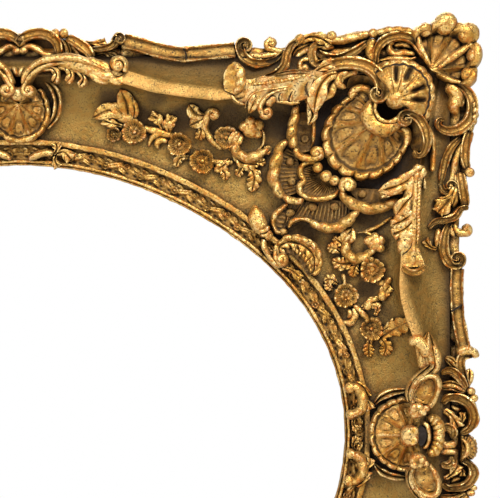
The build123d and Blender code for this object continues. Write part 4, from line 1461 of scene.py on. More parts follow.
@dataclass
class SightMoulding:
    """The oval sight moulding: a bead, a band of running foliage and a rounded fillet."""

    base: float = 30.0
    period: float = 34.0
    step: float = 0.95
    middle: float = 11.7
    guide: Pair = (310.0, 258.0)
    rebate: float = 7.7
    leaves: tuple[tuple[float, ...], ...] = (
        (1.8, 0.8, 22, 7.6, 3.3, 3.6), (9.6, -2.4, -26, 5, 2.4, 3.2), (-12.4, 2.6, -28, 4.4, 2.2, 3),
        (6.8, 4, 10, 4.6, 1.7, 2.8), (-3.6, 4, -12, 4.2, 1.6, 2.8),
    )
    curls: tuple[Trio, ...] = ((-6.4, -2.0, 2.9), (13.2, 2.6, 2.2))
    pits: tuple[Pair, ...] = (
        (-1.6, -4.8), (4.6, -4.9), (-11.4, -3.6), (14.6, -3.4), (10.6, 5.2),
    )

    def foliage(self, s: np.ndarray, m: np.ndarray) -> np.ndarray:
        """Relief of the band's running stem, leaves and curls.

        Args:
            s: Distance round the sight.
            m: Distance outside the sight.

        Returns:
            The height above the band's ground.
        """
        local = self.period / 2 - np.mod(s, self.period)
        across = m - self.middle
        wave = 1.6 * np.sin(2 * math.pi * s / self.period)
        height = 1.3 * np.exp(-(((across - wave) / 1.5) ** 2))
        for along, off, tilt, length, width, tall in self.leaves:
            turn = math.radians(tilt)
            p = local - along
            q = across - off
            e = (p * math.cos(turn) + q * math.sin(turn)) / length
            f = (-p * math.sin(turn) + q * math.cos(turn)) / width
            mound = np.clip(1.0 - e * e - f * f, 0.0, 1.0) ** 0.6
            notch = 1.0 - 0.4 * np.cos(5.0 * math.pi * e + 2.0 * np.abs(f)) ** 2 * np.abs(f)
            vein = 1.0 - 0.45 * np.exp(-((f / 0.2) ** 2))
            height = np.maximum(height, tall * mound * vein * notch)
        for along, off, radius in self.curls:
            ring = np.hypot(local - along, across - off)
            height = np.maximum(height, 3.1 * np.exp(-(((ring - radius) / 0.8) ** 2)))
            height = np.maximum(height, 2.6 * np.exp(-((ring / 1.0) ** 2)))
        for along, off in self.pits:
            away = np.hypot((local - along) / 1.5, (across - off) / 0.9)
            height = height - 2.6 * np.exp(-(away**2))
        return height

    def make(self) -> Piece:
        """Makes the moulding round the whole sight.

        Returns:
            The piece.
        """
        fine = np.radians(np.linspace(0.0, 360.0, 7201))
        speed = np.hypot(self.guide[0] * np.sin(fine), self.guide[1] * np.cos(fine))
        reach = np.concatenate([[0.0], np.cumsum((speed[1:] + speed[:-1]) / 2 * np.diff(fine))])
        cycles = 4 * round(reach[-1] / self.period / 4)
        self.period = reach[-1] / cycles
        count = int(reach[-1] / self.step / 4) * 4
        s = np.linspace(0.0, reach[-1], count + 1)
        angle = np.degrees(np.interp(s, reach, fine))
        bead_m = np.array([0.0, 0.3, 0.8, 1.3, 1.7, 2.1, 2.5, 3.1, 3.8, 4.5, 5.0, 5.2])
        band_m = np.linspace(5.4, 18.4, 22)
        fillet_m = np.array([18.6, 18.8, 19.3, 20.2, 21.4, 22.7, 23.6, 24.0])
        m = np.concatenate([bead_m, band_m, fillet_m])
        bead_d = self.base + np.array([-0.4, 0.8, 1.5, 1.0, 0.2, 1.0, 2.0, 2.5, 2.6, 2.3, 1.4, 0.0])
        fillet_d = self.base + 4.2 * np.clip(1 - ((fillet_m - 21.3) / 2.75) ** 8, 0.0, 1.0) ** 0.5
        grid_s, grid_m = np.meshgrid(s, band_m, indexing="ij")
        half_s = np.minimum(grid_s, reach[-1] - grid_s)
        quarter_s = np.minimum(half_s, reach[-1] / 2 - half_s)
        relief = self.foliage(quarter_s, grid_m)
        band_d = self.base - 2.6 + np.maximum(relief, -1.2)
        depth = np.concatenate(
            [np.tile(bead_d, (len(s), 1)), band_d, np.tile(fillet_d, (len(s), 1))], axis=1
        )
        rows = np.zeros((len(s), len(m) + 6, 4))
        ring_m = np.concatenate([m, [SIGHT_MOULDING_WIDTH, self.rebate, self.rebate, 0.0, 0.0, 0.0]])
        ring_d = np.array([BACK_FRONT + 0.1, BACK_FRONT + 0.1, 22.0, 22.0, 26.0])
        rows[..., :2] = oval(angle[:, None], ring_m[None, :])
        rows[..., 2] = np.concatenate([depth, np.tile(ring_d, (len(s), 1)), depth[:, :1]], axis=1)
        bead_edge = len(bead_m)
        # Painted shade: the foliage darker where it lies low, dark lines in the bead's groove and where the
        # bead, the band and the fillet meet, and the fillet darker towards its outer edge; its inner edge is
        # rubbed bright. Near the left and right middles, under the side cartouches, the fillet gets more
        # painted shade.
        rows[:, bead_edge:bead_edge + len(band_m), 3] = np.where(relief > 0.0, 0.26, 0.7) * relief - 0.65
        rows[:, [4, bead_edge - 1, bead_edge + len(band_m)], 3] = -1.3
        fillet = slice(bead_edge + len(band_m) + 1, len(m))
        rows[:, fillet, 3] = (0.2, 0.1, -0.05, -0.2, -0.3, -0.5, -1.0)
        rows[:, fillet, 3] -= 0.9 * (1.0 - smooth(np.abs(rows[:, fillet, 1]), 14.0, 19.0))
        rows[-1] = rows[0]
        carving = Carving("sight_moulding_ring", MOULDING_GOLD, "gilt_moulding", [rows], 60.0, 0.7)
        piece = carving.carve()
        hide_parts(*(f"sight_moulding_{place.value[0]}" for place in Corner))
        return piece


@dataclass
class CornerFan(CornerOrnament):
    """The outer fan with its fluted hood, two volutes and two channelled arms."""

    node: str = "corner_fan"
    fan: Shell = Shell(
        CORNER.place(960, 615), 47, 72, (42, 13), 5,
        ((0, 44), (0.2, 43.5), (0.5, 41), (0.74, 40), (0.8, 41), (0.96, 41), (1, 34)), 4, 29, 10, 0.87, 0.12,
        scallop=0.08, tear=1.4, flute=-2,
    )
    hood: Shell = Shell(
        CORNER.place(640, 880), 47, 80, (36, 4.5), 6,
        ((0, 60), (0.12, 64), (0.3, 66), (0.5, 65), (0.68, 61.5), (0.8, 57.5), (0.87, 56), (0.95, 54),
            (1, 45)),
        -0.9, 33, 2, 0.92, 0.06, 11, 0.03, 0, 0.9,
        ((88, 0.6, 0.19), (62, 0.64, 0.17), (24, 0.6, 0.18), (-1, 0.58, 0.17)), 2.4,
    )
    marks: Marks = (
        Knob(660, 862, 11, 53.5, 1.1),
        Stroke([(985, 612), (915, 500), (858, 385), (846, 300)], 2.8, 41, 5, (0.6, 0.9)),
        Stroke([(1010, 640), (1110, 695), (1225, 725)], 2.6, 41, 5, (0.6, 0.9)),
        Knob(1090, 210, 10.8, 41, 0.85), Knob(1288, 298, 10.4, 41, 0.85), Knob(912, 268, 6.8, 42, 0.9),
        Knob(1338, 480, 7.6, 42.5, 0.9), Knob(1290, 652, 7.4, 42, 0.9),
        Stroke([(-30, 650), (60, 595), (170, 566), (280, 562), (390, 588), (478, 652), (522, 735),
            (532, 806)], 6.2, 52, 8, (0.9, 0.45), 20, CHANNEL, eye=(490, 825, 0, -1.25, 4.4)),
        Stroke([(808, 1318), (838, 1362), (888, 1342), (918, 1262), (910, 1160), (865, 1065), (800, 1008),
            (735, 1003)], 4.8, 51.5, 7.5, (0.5, 0.5), 20, CHANNEL, eye=(735, 1047, 90, 1.25, 4.4)),
        Stroke([(972, 1500), (980, 1330), (965, 1200), (935, 1100)], 2.6, 48, 5, (0.8, 0.5), 18),
        Frond([(330, 600), (190, 640), (105, 715), (52, 800), (40, 885)], 9.8, 50, 2, 5.5, 18, 0.3, 0.75,
            0.95),
        Stroke([(250, 640), (165, 670), (155, 735), (215, 775)], 3.6, 52, 5, drop=18),
        Stroke([(1020, 600), (1150, 500), (1330, 385)], 3.4, 43, 4, (0.6, 0.9), 6),
    )

    def sheets(self) -> Sheets:
        """The sheets of the top right fan."""
        return [*self.fan.sheets(), *burnish_and_shade(self.hood.sheets(), 0.3), *carve_all(CORNER, self.marks)]


@dataclass
class CornerShell(CornerOrnament):
    """The inner shell that opens towards the sight, with the crescent at its hinge."""

    node: str = "corner_shell"
    body: Shell = Shell(
        CORNER.place(505, 1050), 231, 103, (35, 26), 7,
        ((0, 49), (0.2, 49), (0.45, 46.5), (0.7, 43), (0.82, 42), (0.87, 42.5), (0.97, 42.5), (1, 37)), 2.2,
        29, 4.6, 0.925, 0.06, 14, 0.035, 1.5, -2,
    )
    marks: Marks = (
        Stroke([(475, 860), (428, 925), (420, 1010), (460, 1085), (545, 1122), (640, 1100), (710, 1040)],
            8.2, 47, 9, (0.35, 0.4), 14),
        Stroke([(478, 900), (470, 975), (515, 1050), (600, 1070), (690, 1025)], 1.8, 54, 3, (0.8, 0.8), 8),
        Stroke([(448, 842), (420, 792), (350, 772), (286, 800), (258, 850)], 3.8, 42, 6, (0.8, 0.7), 12),
        Stroke([(690, 1110), (738, 1138), (757, 1205), (745, 1280)], 3.6, 42, 6, (0.8, 0.7), 12),
        Hatch([(440, 830), (350, 780), (268, 842)], [(450, 900), (385, 885), (315, 862)], 2, 42, 0.2, 8,
            -0.6),
    )

    def sheets(self) -> Sheets:
        """The sheets of the top right shell."""
        return [*self.body.sheets(), *carve_all(CORNER, self.marks)]


@dataclass
class CornerScrolls(CornerOrnament):
    """Ruffled scrolls, hatched pockets and beads between the shell and the sight."""

    node: str = "corner_scrolls"
    borders: Marks = (
        Stroke([(750, -130), (745, -40), (722, 60), (722, 150), (745, 225)], 5, 40, 8, (0.6, 0.9), 13,
            ruffle=(4, 0.26)),
        Stroke([(742, 215), (770, 275), (830, 303), (890, 308), (945, 285)], 3.4, 40, 6, (0.8, 0.55), 13,
            eye=(912, 258, -35, 1.15, 4.6)),
        Stroke([(700, 160), (640, 200), (605, 290), (585, 380), (575, 450), (600, 540), (660, 605)], 6, 37,
            8.5, (0.5, 0.7), ruffle=(4, 0.28)),
        Stroke([(640, 590), (700, 625), (760, 640), (820, 610)], 3.6, 37, 6, (0.7, 0.6), ruffle=(2, 0.25)),
        Stroke([(930, 345), (850, 335), (795, 365), (785, 425), (815, 470), (782, 515), (795, 580),
            (865, 612), (965, 618), (1055, 585), (1092, 530)], 3, 36.5, ends=(0.7, 0.7), ruffle=(11, 0.14)),
        Stroke([(1108, 520), (1122, 590), (1190, 655), (1290, 690), (1390, 690), (1470, 665), (1575, 630)],
            5.6, 38, 8, (0.6, 0.8), 12, ruffle=(5, 0.22)),
        Stroke([(1125, 575), (1105, 525)], 3.4, 41, 6, (0.8, 0.6), 12, eye=(1160, 508, 180, -1.2, 5.6)),
        Stroke([(690, 850), (715, 800), (780, 775), (850, 785), (900, 815)], 2.4, 36, 5.5, (0.6, 0.8), 9),
        Stroke([(860, 790), (920, 825), (1000, 845), (1085, 840), (1160, 790), (1215, 730), (1235, 690)],
            5.2, 36, 8, (0.6, 0.7), 9, ruffle=(5, 0.24)),
        Stroke([(640, 890), (590, 865), (570, 800), (590, 740), (640, 690), (690, 650)], 2.6, 33, 5,
            (0.7, 0.7), 6),
        Stroke([(885, -80), (890, 60), (885, 160), (870, 225)], 2, 35, 4.5, drop=8),
    )
    pockets: Marks = (
        Hatch([(690, 190), (620, 330), (600, 480), (680, 600)], [(730, 240), (770, 330), (780, 440),
            (780, 560)], 13, 33, 0.8),
        Hatch([(900, 350, 2), (800, 400, 2), (800, 560, 2), (960, 605, 2), (1080, 540, 2)], [(920, 400, -2),
            (940, 420, -3.5), (970, 450, -3.5), (1010, 480, -3.5), (1050, 510, -2)], 22, 34, 0.8),
        Hatch([(700, 640), (850, 640), (1050, 630), (1200, 680)], [(640, 880), (760, 770), (1000, 830),
            (1200, 720)], 19, 32.5, 0.9),
        Hatch([(760, -60), (750, 120), (780, 260)], [(870, -60), (880, 120), (865, 240)], 4, 32, tone=-1.1),
        Hatch([(600, 870), (585, 800), (610, 730), (680, 660)], [(660, 880), (690, 830), (740, 760),
            (760, 680)], 6, 31, 0.4, 4, -0.9),
        Hatch([(1170, 560), (1300, 660), (1540, 640)], [(1210, 530), (1340, 540), (1520, 540)], 6, 32,
            tone=-1.1),
        Knob(922, 372, 5, 40), Knob(985, 440, 5.4, 40), Knob(1050, 480, 5, 40),
        Knob(706, 322, 4, 33.5, 0.7, tone=-0.8), Knob(722, 478, 4.4, 33, 0.7, tone=-0.8),
        Knob(823, 148, 3.8, 32.5, 0.7, 0.4, tone=-0.8), Knob(1272, 580, 4.2, 33, 0.7, tone=-0.8),
        Knob(710, 725, 4.4, 32.5, 0.7, tone=-0.8), Knob(880, 680, 4.2, 32.5, 0.7, tone=-0.8),
        Knob(1055, 678, 4.2, 32.5, 0.7, tone=-0.8), Knob(655, 875, 4, 34, tone=-0.5),
        Frond([(1180, 480), (1135, 520), (1120, 590)], 2.6, 40, 2, 4, 9),
        Stroke([(1240, 700), (1190, 668)], 3, 37, 5),
    )
    walls: Marks = (
        Hatch([(250, 690, 8), (330, 660, 8), (420, 675, 8), (485, 730, 8)], [(225, 775), (300, 765),
            (370, 760), (440, 790)], 3, 34, 0.2, 8, -0.9),
        Hatch([(790, 1060, 8), (860, 1110, 8), (905, 1200, 8), (905, 1300, 8)], [(775, 1110), (785, 1180),
            (790, 1260), (820, 1330)], 3, 34, 0.2, 8, -0.8),
    )

    def sheets(self) -> Sheets:
        """The sheets of the top right scrolls."""
        return [*carve_all(SCROLLS, self.borders + self.pockets), *carve_all(CORNER, self.walls)]


@dataclass
class RidgeLeaves(CornerOrnament):
    """The two acanthus leaves that lie along the ridge on either side of a corner."""

    node: str = "corner_leaves"
    ridge: Points = (
        (722, 822, 0.0), (882, 809, 3.5), (951, 802, 4.5), (1043, 786, 5.0), (1204, 756, 5.0),
        (1420, 712, 5.0),
    )
    upper: Points = ((745, 748, -1.0), (882, 740), (951, 714), (1028, 716), (1204, 672), (1410, 664))
    lower: Points = ((680, 910, -1.0), (783, 975), (905, 965), (1043, 945), (1204, 958), (1345, 925))
    top: Marks = (
        Hatch(upper, ridge, 3, 56, 0.3, 14, 0), Hatch(ridge, lower, 5, 56, 0.45, 14, 0),
        Stroke([(1340, 715), (1220, 745), (1080, 770), (930, 788), (860, 795)], 2, 60.5, 2.8, (0.6, 0.6), 8,
            ruffle=(14, 0.3)),
        Stroke([(1400, 690), (1290, 688), (1160, 695), (1040, 715)], 3, 55, 4.6, (0.8, 0.5), 14, TRIPLE),
        Stroke([(1350, 770), (1180, 812), (1050, 835), (930, 848), (850, 885), (800, 950), (782, 1024)], 1.2,
            58, 2.2, (0.5, 0.6)),
        Frond([(1010, 855), (930, 890), (870, 955), (820, 1060)], 6.2, 55, 1, 4.5, 14, 0, 0.8, 0.75),
        Stroke([(1180, 835), (1060, 862), (970, 920), (928, 1000), (945, 1070)], 2.4, 57.5, 4.5, (0.5, 0.8),
            14, eye=(982, 1048, 215, 1, 5)),
        Stroke([(1075, 900), (1010, 945), (985, 1010)], 4, 55, 4, (0.8, 0.6), 14),
        Stroke([(1128, 868), (1108, 905), (1106, 950)], 1, 57.8, 1.8, drop=8),
        Stroke([(1240, 846), (1208, 900), (1200, 955)], 1, 57.8, 1.8, drop=8),
        Stroke([(1070, 950), (1140, 955), (1215, 965), (1290, 955)], 1.6, 55, 2.6, (0.6, 0.6), 12,
            ruffle=(3, 0.2)),
        Frond([(1640, 690), (1550, 715), (1475, 800), (1432, 920), (1416, 1062)], 9, 55, 1, 6, 14, 0.05, 0.7,
            0.75),
        Hatch([(1400, 668, 3), (1405, 800), (1378, 925)], [(1520, 690, 2), (1480, 790), (1420, 930)], 2, 56,
            0.3, 14, -0.1),
        Frond([(1345, 905), (1392, 1000), (1402, 1080), (1360, 1165)], 5.2, 51, 1, 5, 14, 0, 0.6, 0.8),
        Frond([(1390, 720), (1470, 650), (1590, 600)], 6.5, 56),
        Stroke([(655, 888), (705, 948), (790, 985)], 1.6, 58.5, 2.6),
        Stroke([(672, 598), (722, 655), (742, 735), (732, 810), (684, 888)], 5.2, 58.5, 7, (0.6, 0.6), 12,
            ruffle=(4, 0.22)),
    )
    slits: Marks = (
        Stroke([(1112, 868), (1094, 905), (1092, 945)], 0.8, 57.6, 1.7, drop=6),
        Stroke([(1224, 850), (1192, 900), (1184, 952)], 0.8, 57.6, 1.7, drop=6),
        Stroke([(1370, 760), (1335, 830), (1366, 915)], 1, 58.6, 1.8, (0.4, 0.6), 6),
        Stroke([(1040, 888), (960, 950), (942, 1020)], 0.9, 58.8, 1.8, (0.4, 0.6), 6),
    )
    cup: Hatch = Hatch(
        [(690, 600, 2), (735, 700, 2), (730, 800, 2), (690, 890, 1)],
        [(640, 620, -2), (595, 690, -3), (590, 760, -3), (600, 850, -3)], 3, 61, 0.3, 8, -0.3,
    )
    blades: Marks = (
        Stroke([(848, -20), (844, 150), (840, 300), (838, 440), (830, 570)], 2, 61, 2.6, (0.8, 0.6), 8,
            ruffle=(18, 0.3)),
        Frond([(800, 130), (730, 205), (648, 312)], 7.8, 57, 1, 5.5, 14, 0.05, 0.6, 0.7),
        Frond([(810, 280), (710, 355), (605, 400)], 7, 56.5, 3, 5.5, 14, 0.5, 0.7, 0.9),
        Frond([(805, 350), (720, 430), (615, 480)], 7, 57, 3, 5.5, 14, 0.5, 0.7, 0.9),
        Stroke([(805, 390), (770, 480), (730, 560), (678, 640)], 8, 55, 6.5, (0.4, 0.5), 14,
            ruffle=(5, 0.08)),
        Frond([(890, -110), (815, -30), (704, 38), (610, 74), (490, 108)], 8.6, 54, 2, 6, 14, 0.1, 0.9, 1.1),
        Frond([(720, 110), (620, 110), (520, 125)], 5, 52),
        Frond([(884, -100), (886, -10), (872, 70)], 4.4, 54, 1, 4.5),
        Stroke([(695, 745), (745, 792), (810, 805), (870, 780), (910, 735)], 3.2, 59, 5.5, (0.6, 0.6), 10,
            RIM),
    )
    sheath: Marks = (
        Stroke([(835, -80), (825, 100), (815, 300), (808, 480), (800, 640), (795, 760)], 5, 54, 7,
            (0.8, 0.9), 14),
        Stroke([(790, 430), (762, 540), (760, 640), (790, 750)], 8, 51, 8, (0.7, 0.9), 14),
        Stroke([(800, -60), (782, 100), (772, 260), (775, 430)], 6.6, 51, 7, (0.8, 0.9), 14),
        Hatch([(690, 600), (690, 690), (700, 765)], [(850, 590), (872, 680), (900, 745)], 2, 59.5, 0.15, 14,
            -0.1),
    )
    crease: Stroke = Stroke([(796, 450), (792, 530), (757, 605), (690, 662)], 0.9, 58.6, 1.8, (0.5, 0.6), 6)

    def sheets(self) -> Sheets:
        """The sheets of the top right corner's leaves.

        Returns:
            The closed sheets.
        """
        bright = burnish_and_shade([*carve_all(TOP_EDGE, self.top), *carve_all(RIGHT_EDGE, self.blades)], 0.3)
        # The slits and the crease are toned near-black: painted shade in the cuts; the sheath below is toned
        # a little darker.
        bright += burnish_and_shade([*carve_all(TOP_EDGE, self.slits), *self.crease.carve(RIGHT_EDGE)], -1.7)
        return [*bright, *self.cup.carve(TOP_EDGE), *burnish_and_shade(carve_all(RIGHT_EDGE, self.sheath), -0.15)]


def sprig(points: Points, width: float, lobes: int = 4) -> Frond:
    """Draws a leaf of the spray, raised at its middle.

    Args:
        points: Its midrib, from the stem to the tip.
        width: Half its greatest width.
        lobes: The number of lobes on each side.

    Returns:
        The leaf.
    """
    raised = [(*points[0], 0.0), *((*point, 2.5) for point in points[1:-1]), (*points[-1], 0.5)]
    lean, fullest = (0.5, 1.0) if lobes > 1 else (0.1, 1.15)
    return Frond(raised, width, 2, lobes, 4.6, 6, lean, 0.5, fullest, True)


def stalk(points: Points, width: float, ends: Pair = (0.8, 0.7)) -> Stroke:
    """A stem of the spray."""
    return Stroke(points, width, 2, 4, ends, 7, bed=True)


def crescent(points: Points, waves: float = 5.0) -> Stroke:
    """A ruffled crescent of the spray."""
    return Stroke(points, 5.4, 4, 8, (0.4, 0.6), 9, ruffle=(waves, 0.24), bed=True)


def berries(*spots: tuple[float, float, float, float]) -> Marks:
    """A cluster of berries, each with its place, its radius and its height above the cove."""
    return tuple(Knob(x, y, radius, rise, 0.9, 0.0, True) for x, y, radius, rise in spots)


@dataclass
class FlowerSprays(CornerOrnament):
    """Two sprays of flowers, buds, leaves and curled stems that lie in the cove."""

    node: str = "flower_sprays"
    above_sight: Marks = (
        sprig([(850, 480), (710, 395), (560, 455)], 7.4, 1),
        sprig([(850, 490), (775, 400), (705, 335)], 6, 1),
        sprig([(850, 480), (838, 350), (788, 235)], 8.2, 1),
        sprig([(885, 480), (898, 400), (880, 300)], 4.6, 1),
        sprig([(810, 520), (710, 495), (640, 470)], 5, 2), stalk([(900, 490), (830, 450), (750, 430)], 6),
        Bloom(735, 580, 7, 3, 7, 5.5), Bloom(895, 565, 11.4, 3, 11), Bloom(1250, 660, 10.8),
        Bloom(1430, 790, 11.4, 3, 11), stalk([(960, 530), (1100, 568), (1230, 610)], 3.8),
        sprig([(1125, 550), (1085, 470), (1020, 430)], 6, 2),
        sprig([(1170, 590), (1165, 510), (1195, 435)], 6.4, 2), Knob(1170, 500, 4.4, 4, bed=True),
        Knob(1085, 478, 4, 4, bed=True),
        stalk([(1180, 600), (1090, 580), (1030, 610), (1005, 680)], 2.6, (0.8, 0.4)),
        stalk([(1170, 640), (1110, 625), (1070, 655), (1085, 705)], 2.8, (0.8, 0.4)),
        sprig([(1330, 760), (1250, 770), (1220, 840)], 4.6, 3),
        Stroke([(1580, 700), (1505, 625), (1455, 545), (1455, 480), (1480, 420)], 3.4, 2.5, 5, (0.8, 0.6), 7,
            eye=(1510, 435, 160, -1.1, 4.4), bed=True),
        sprig([(1460, 440), (1380, 425), (1325, 350)], 6.4, 1),
        sprig([(1455, 450), (1385, 490), (1325, 515)], 6.4, 1),
        sprig([(1395, 500), (1420, 560), (1395, 630)], 5, 3),
    )
    by_scrolls: Marks = (
        Bloom(205, 140, 10.6),
        crescent([(310, 90), (270, 180), (300, 265), (385, 300), (480, 262), (550, 215)]),
        *berries((405, 72, 8.6, 6), (345, 50, 5, 7), (395, 20, 5.4, 7), (450, 45, 5.2, 7),
            (450, 110, 4.6, 7)),
        Stroke([(470, 60), (500, 120), (490, 200), (430, 255)], 1.8, 3, 4, drop=7, bed=True),
        stalk([(60, 320), (150, 330), (260, 330)], 2.6), sprig([(235, 255), (270, 165), (330, 90)], 6.8, 1),
        sprig([(1140, 1010), (1155, 930), (1196, 845)], 7.4, 1),
        sprig([(480, 265), (520, 240), (560, 215)], 4.6, 1),
        sprig([(260, 250), (330, 330), (470, 350)], 7, 5),
        sprig([(370, 340), (425, 440), (405, 565)], 7.5, 5),
        sprig([(340, 350), (310, 400), (290, 440)], 4.5, 3),
        sprig([(110, 370), (190, 410), (200, 475)], 5.5, 4),
        sprig([(230, 300), (190, 350), (110, 400)], 5, 4), sprig([(420, 320), (470, 330), (520, 320)], 4, 3),
        crescent([(1190, 875), (1140, 965), (1165, 1060), (1240, 1090), (1330, 1045), (1380, 990)]),
        *berries((1375, 968, 7.6, 6), (1325, 945, 4.6, 7), (1365, 925, 4.8, 7), (1415, 945, 4.6, 7),
            (1410, 1005, 4.2, 7)),
        Stroke([(1230, 885), (1300, 880), (1365, 925), (1395, 1000)], 1.6, 3, 4, drop=7, bed=True),
        stalk([(1290, 880), (1400, 830), (1510, 755)], 1.9),
        sprig([(1160, 1010), (1100, 960), (1045, 915)], 5, 4),
        sprig([(1240, 1095), (1130, 1130), (1025, 1100)], 6.6, 5),
        sprig([(1240, 1110), (1210, 1170), (1200, 1230)], 5.6, 4),
        sprig([(1110, 1040), (1060, 1010), (990, 990)], 5, 4), Bloom(1350, 1170, 11.6, 3.5),
        stalk([(1380, 1270), (1450, 1280), (1495, 1230)], 3.4, (0.6, 0.8)), Bloom(1150, 1375, 11.2, 3, 11),
        sprig([(1392, 1412), (1432, 1362), (1488, 1298)], 6.8, 2), Knob(1428, 1374, 5, 4, bed=True),
        sprig([(1262, 1478), (1330, 1440), (1414, 1420)], 6.8, 2), Knob(1322, 1452, 5, 4, bed=True),
        sprig([(1090, 1290), (1030, 1250), (970, 1260)], 5.2, 4),
        sprig([(1050, 1330), (1010, 1310), (990, 1280)], 4, 3),
        stalk([(1120, 1200), (1130, 1260), (1140, 1300)], 2),
    )
    beside_sight: Marks = (
        stalk([(285, 1110), (310, 1180), (265, 1245), (185, 1240)], 3.4, (0.6, 0.4)),
        stalk([(250, 1120), (265, 1170), (240, 1210)], 2.4, (0.6, 0.4)),
        stalk([(290, 1080), (370, 1160), (430, 1230)], 2.8), Bloom(450, 1295, 10.6),
        sprig([(525, 1375), (640, 1300), (770, 1222)], 8.6, 4),
        sprig([(540, 1320), (600, 1275), (655, 1225)], 4.6, 2),
        sprig([(530, 1380), (575, 1450), (555, 1535)], 6.6, 5),
        sprig([(440, 1380), (425, 1460), (430, 1550)], 5.6, 5),
        sprig([(480, 1180), (500, 1120), (470, 1060)], 4, 3),
    )

    def sheets(self) -> Sheets:
        """The sheets of the top right corner's two sprays."""
        top = [*carve_all(TOP_COVE, self.above_sight), *carve_all(SCROLLS, self.by_scrolls)]
        return [*top, *carve_all(RIGHT_EDGE, self.beside_sight)]


def rail(points: Points, width: float) -> Stroke:
    """A length of the reeded rail."""
    return Stroke(points, width, 33, 10, (1, 1), 9, RAIL, blunt=0.12)


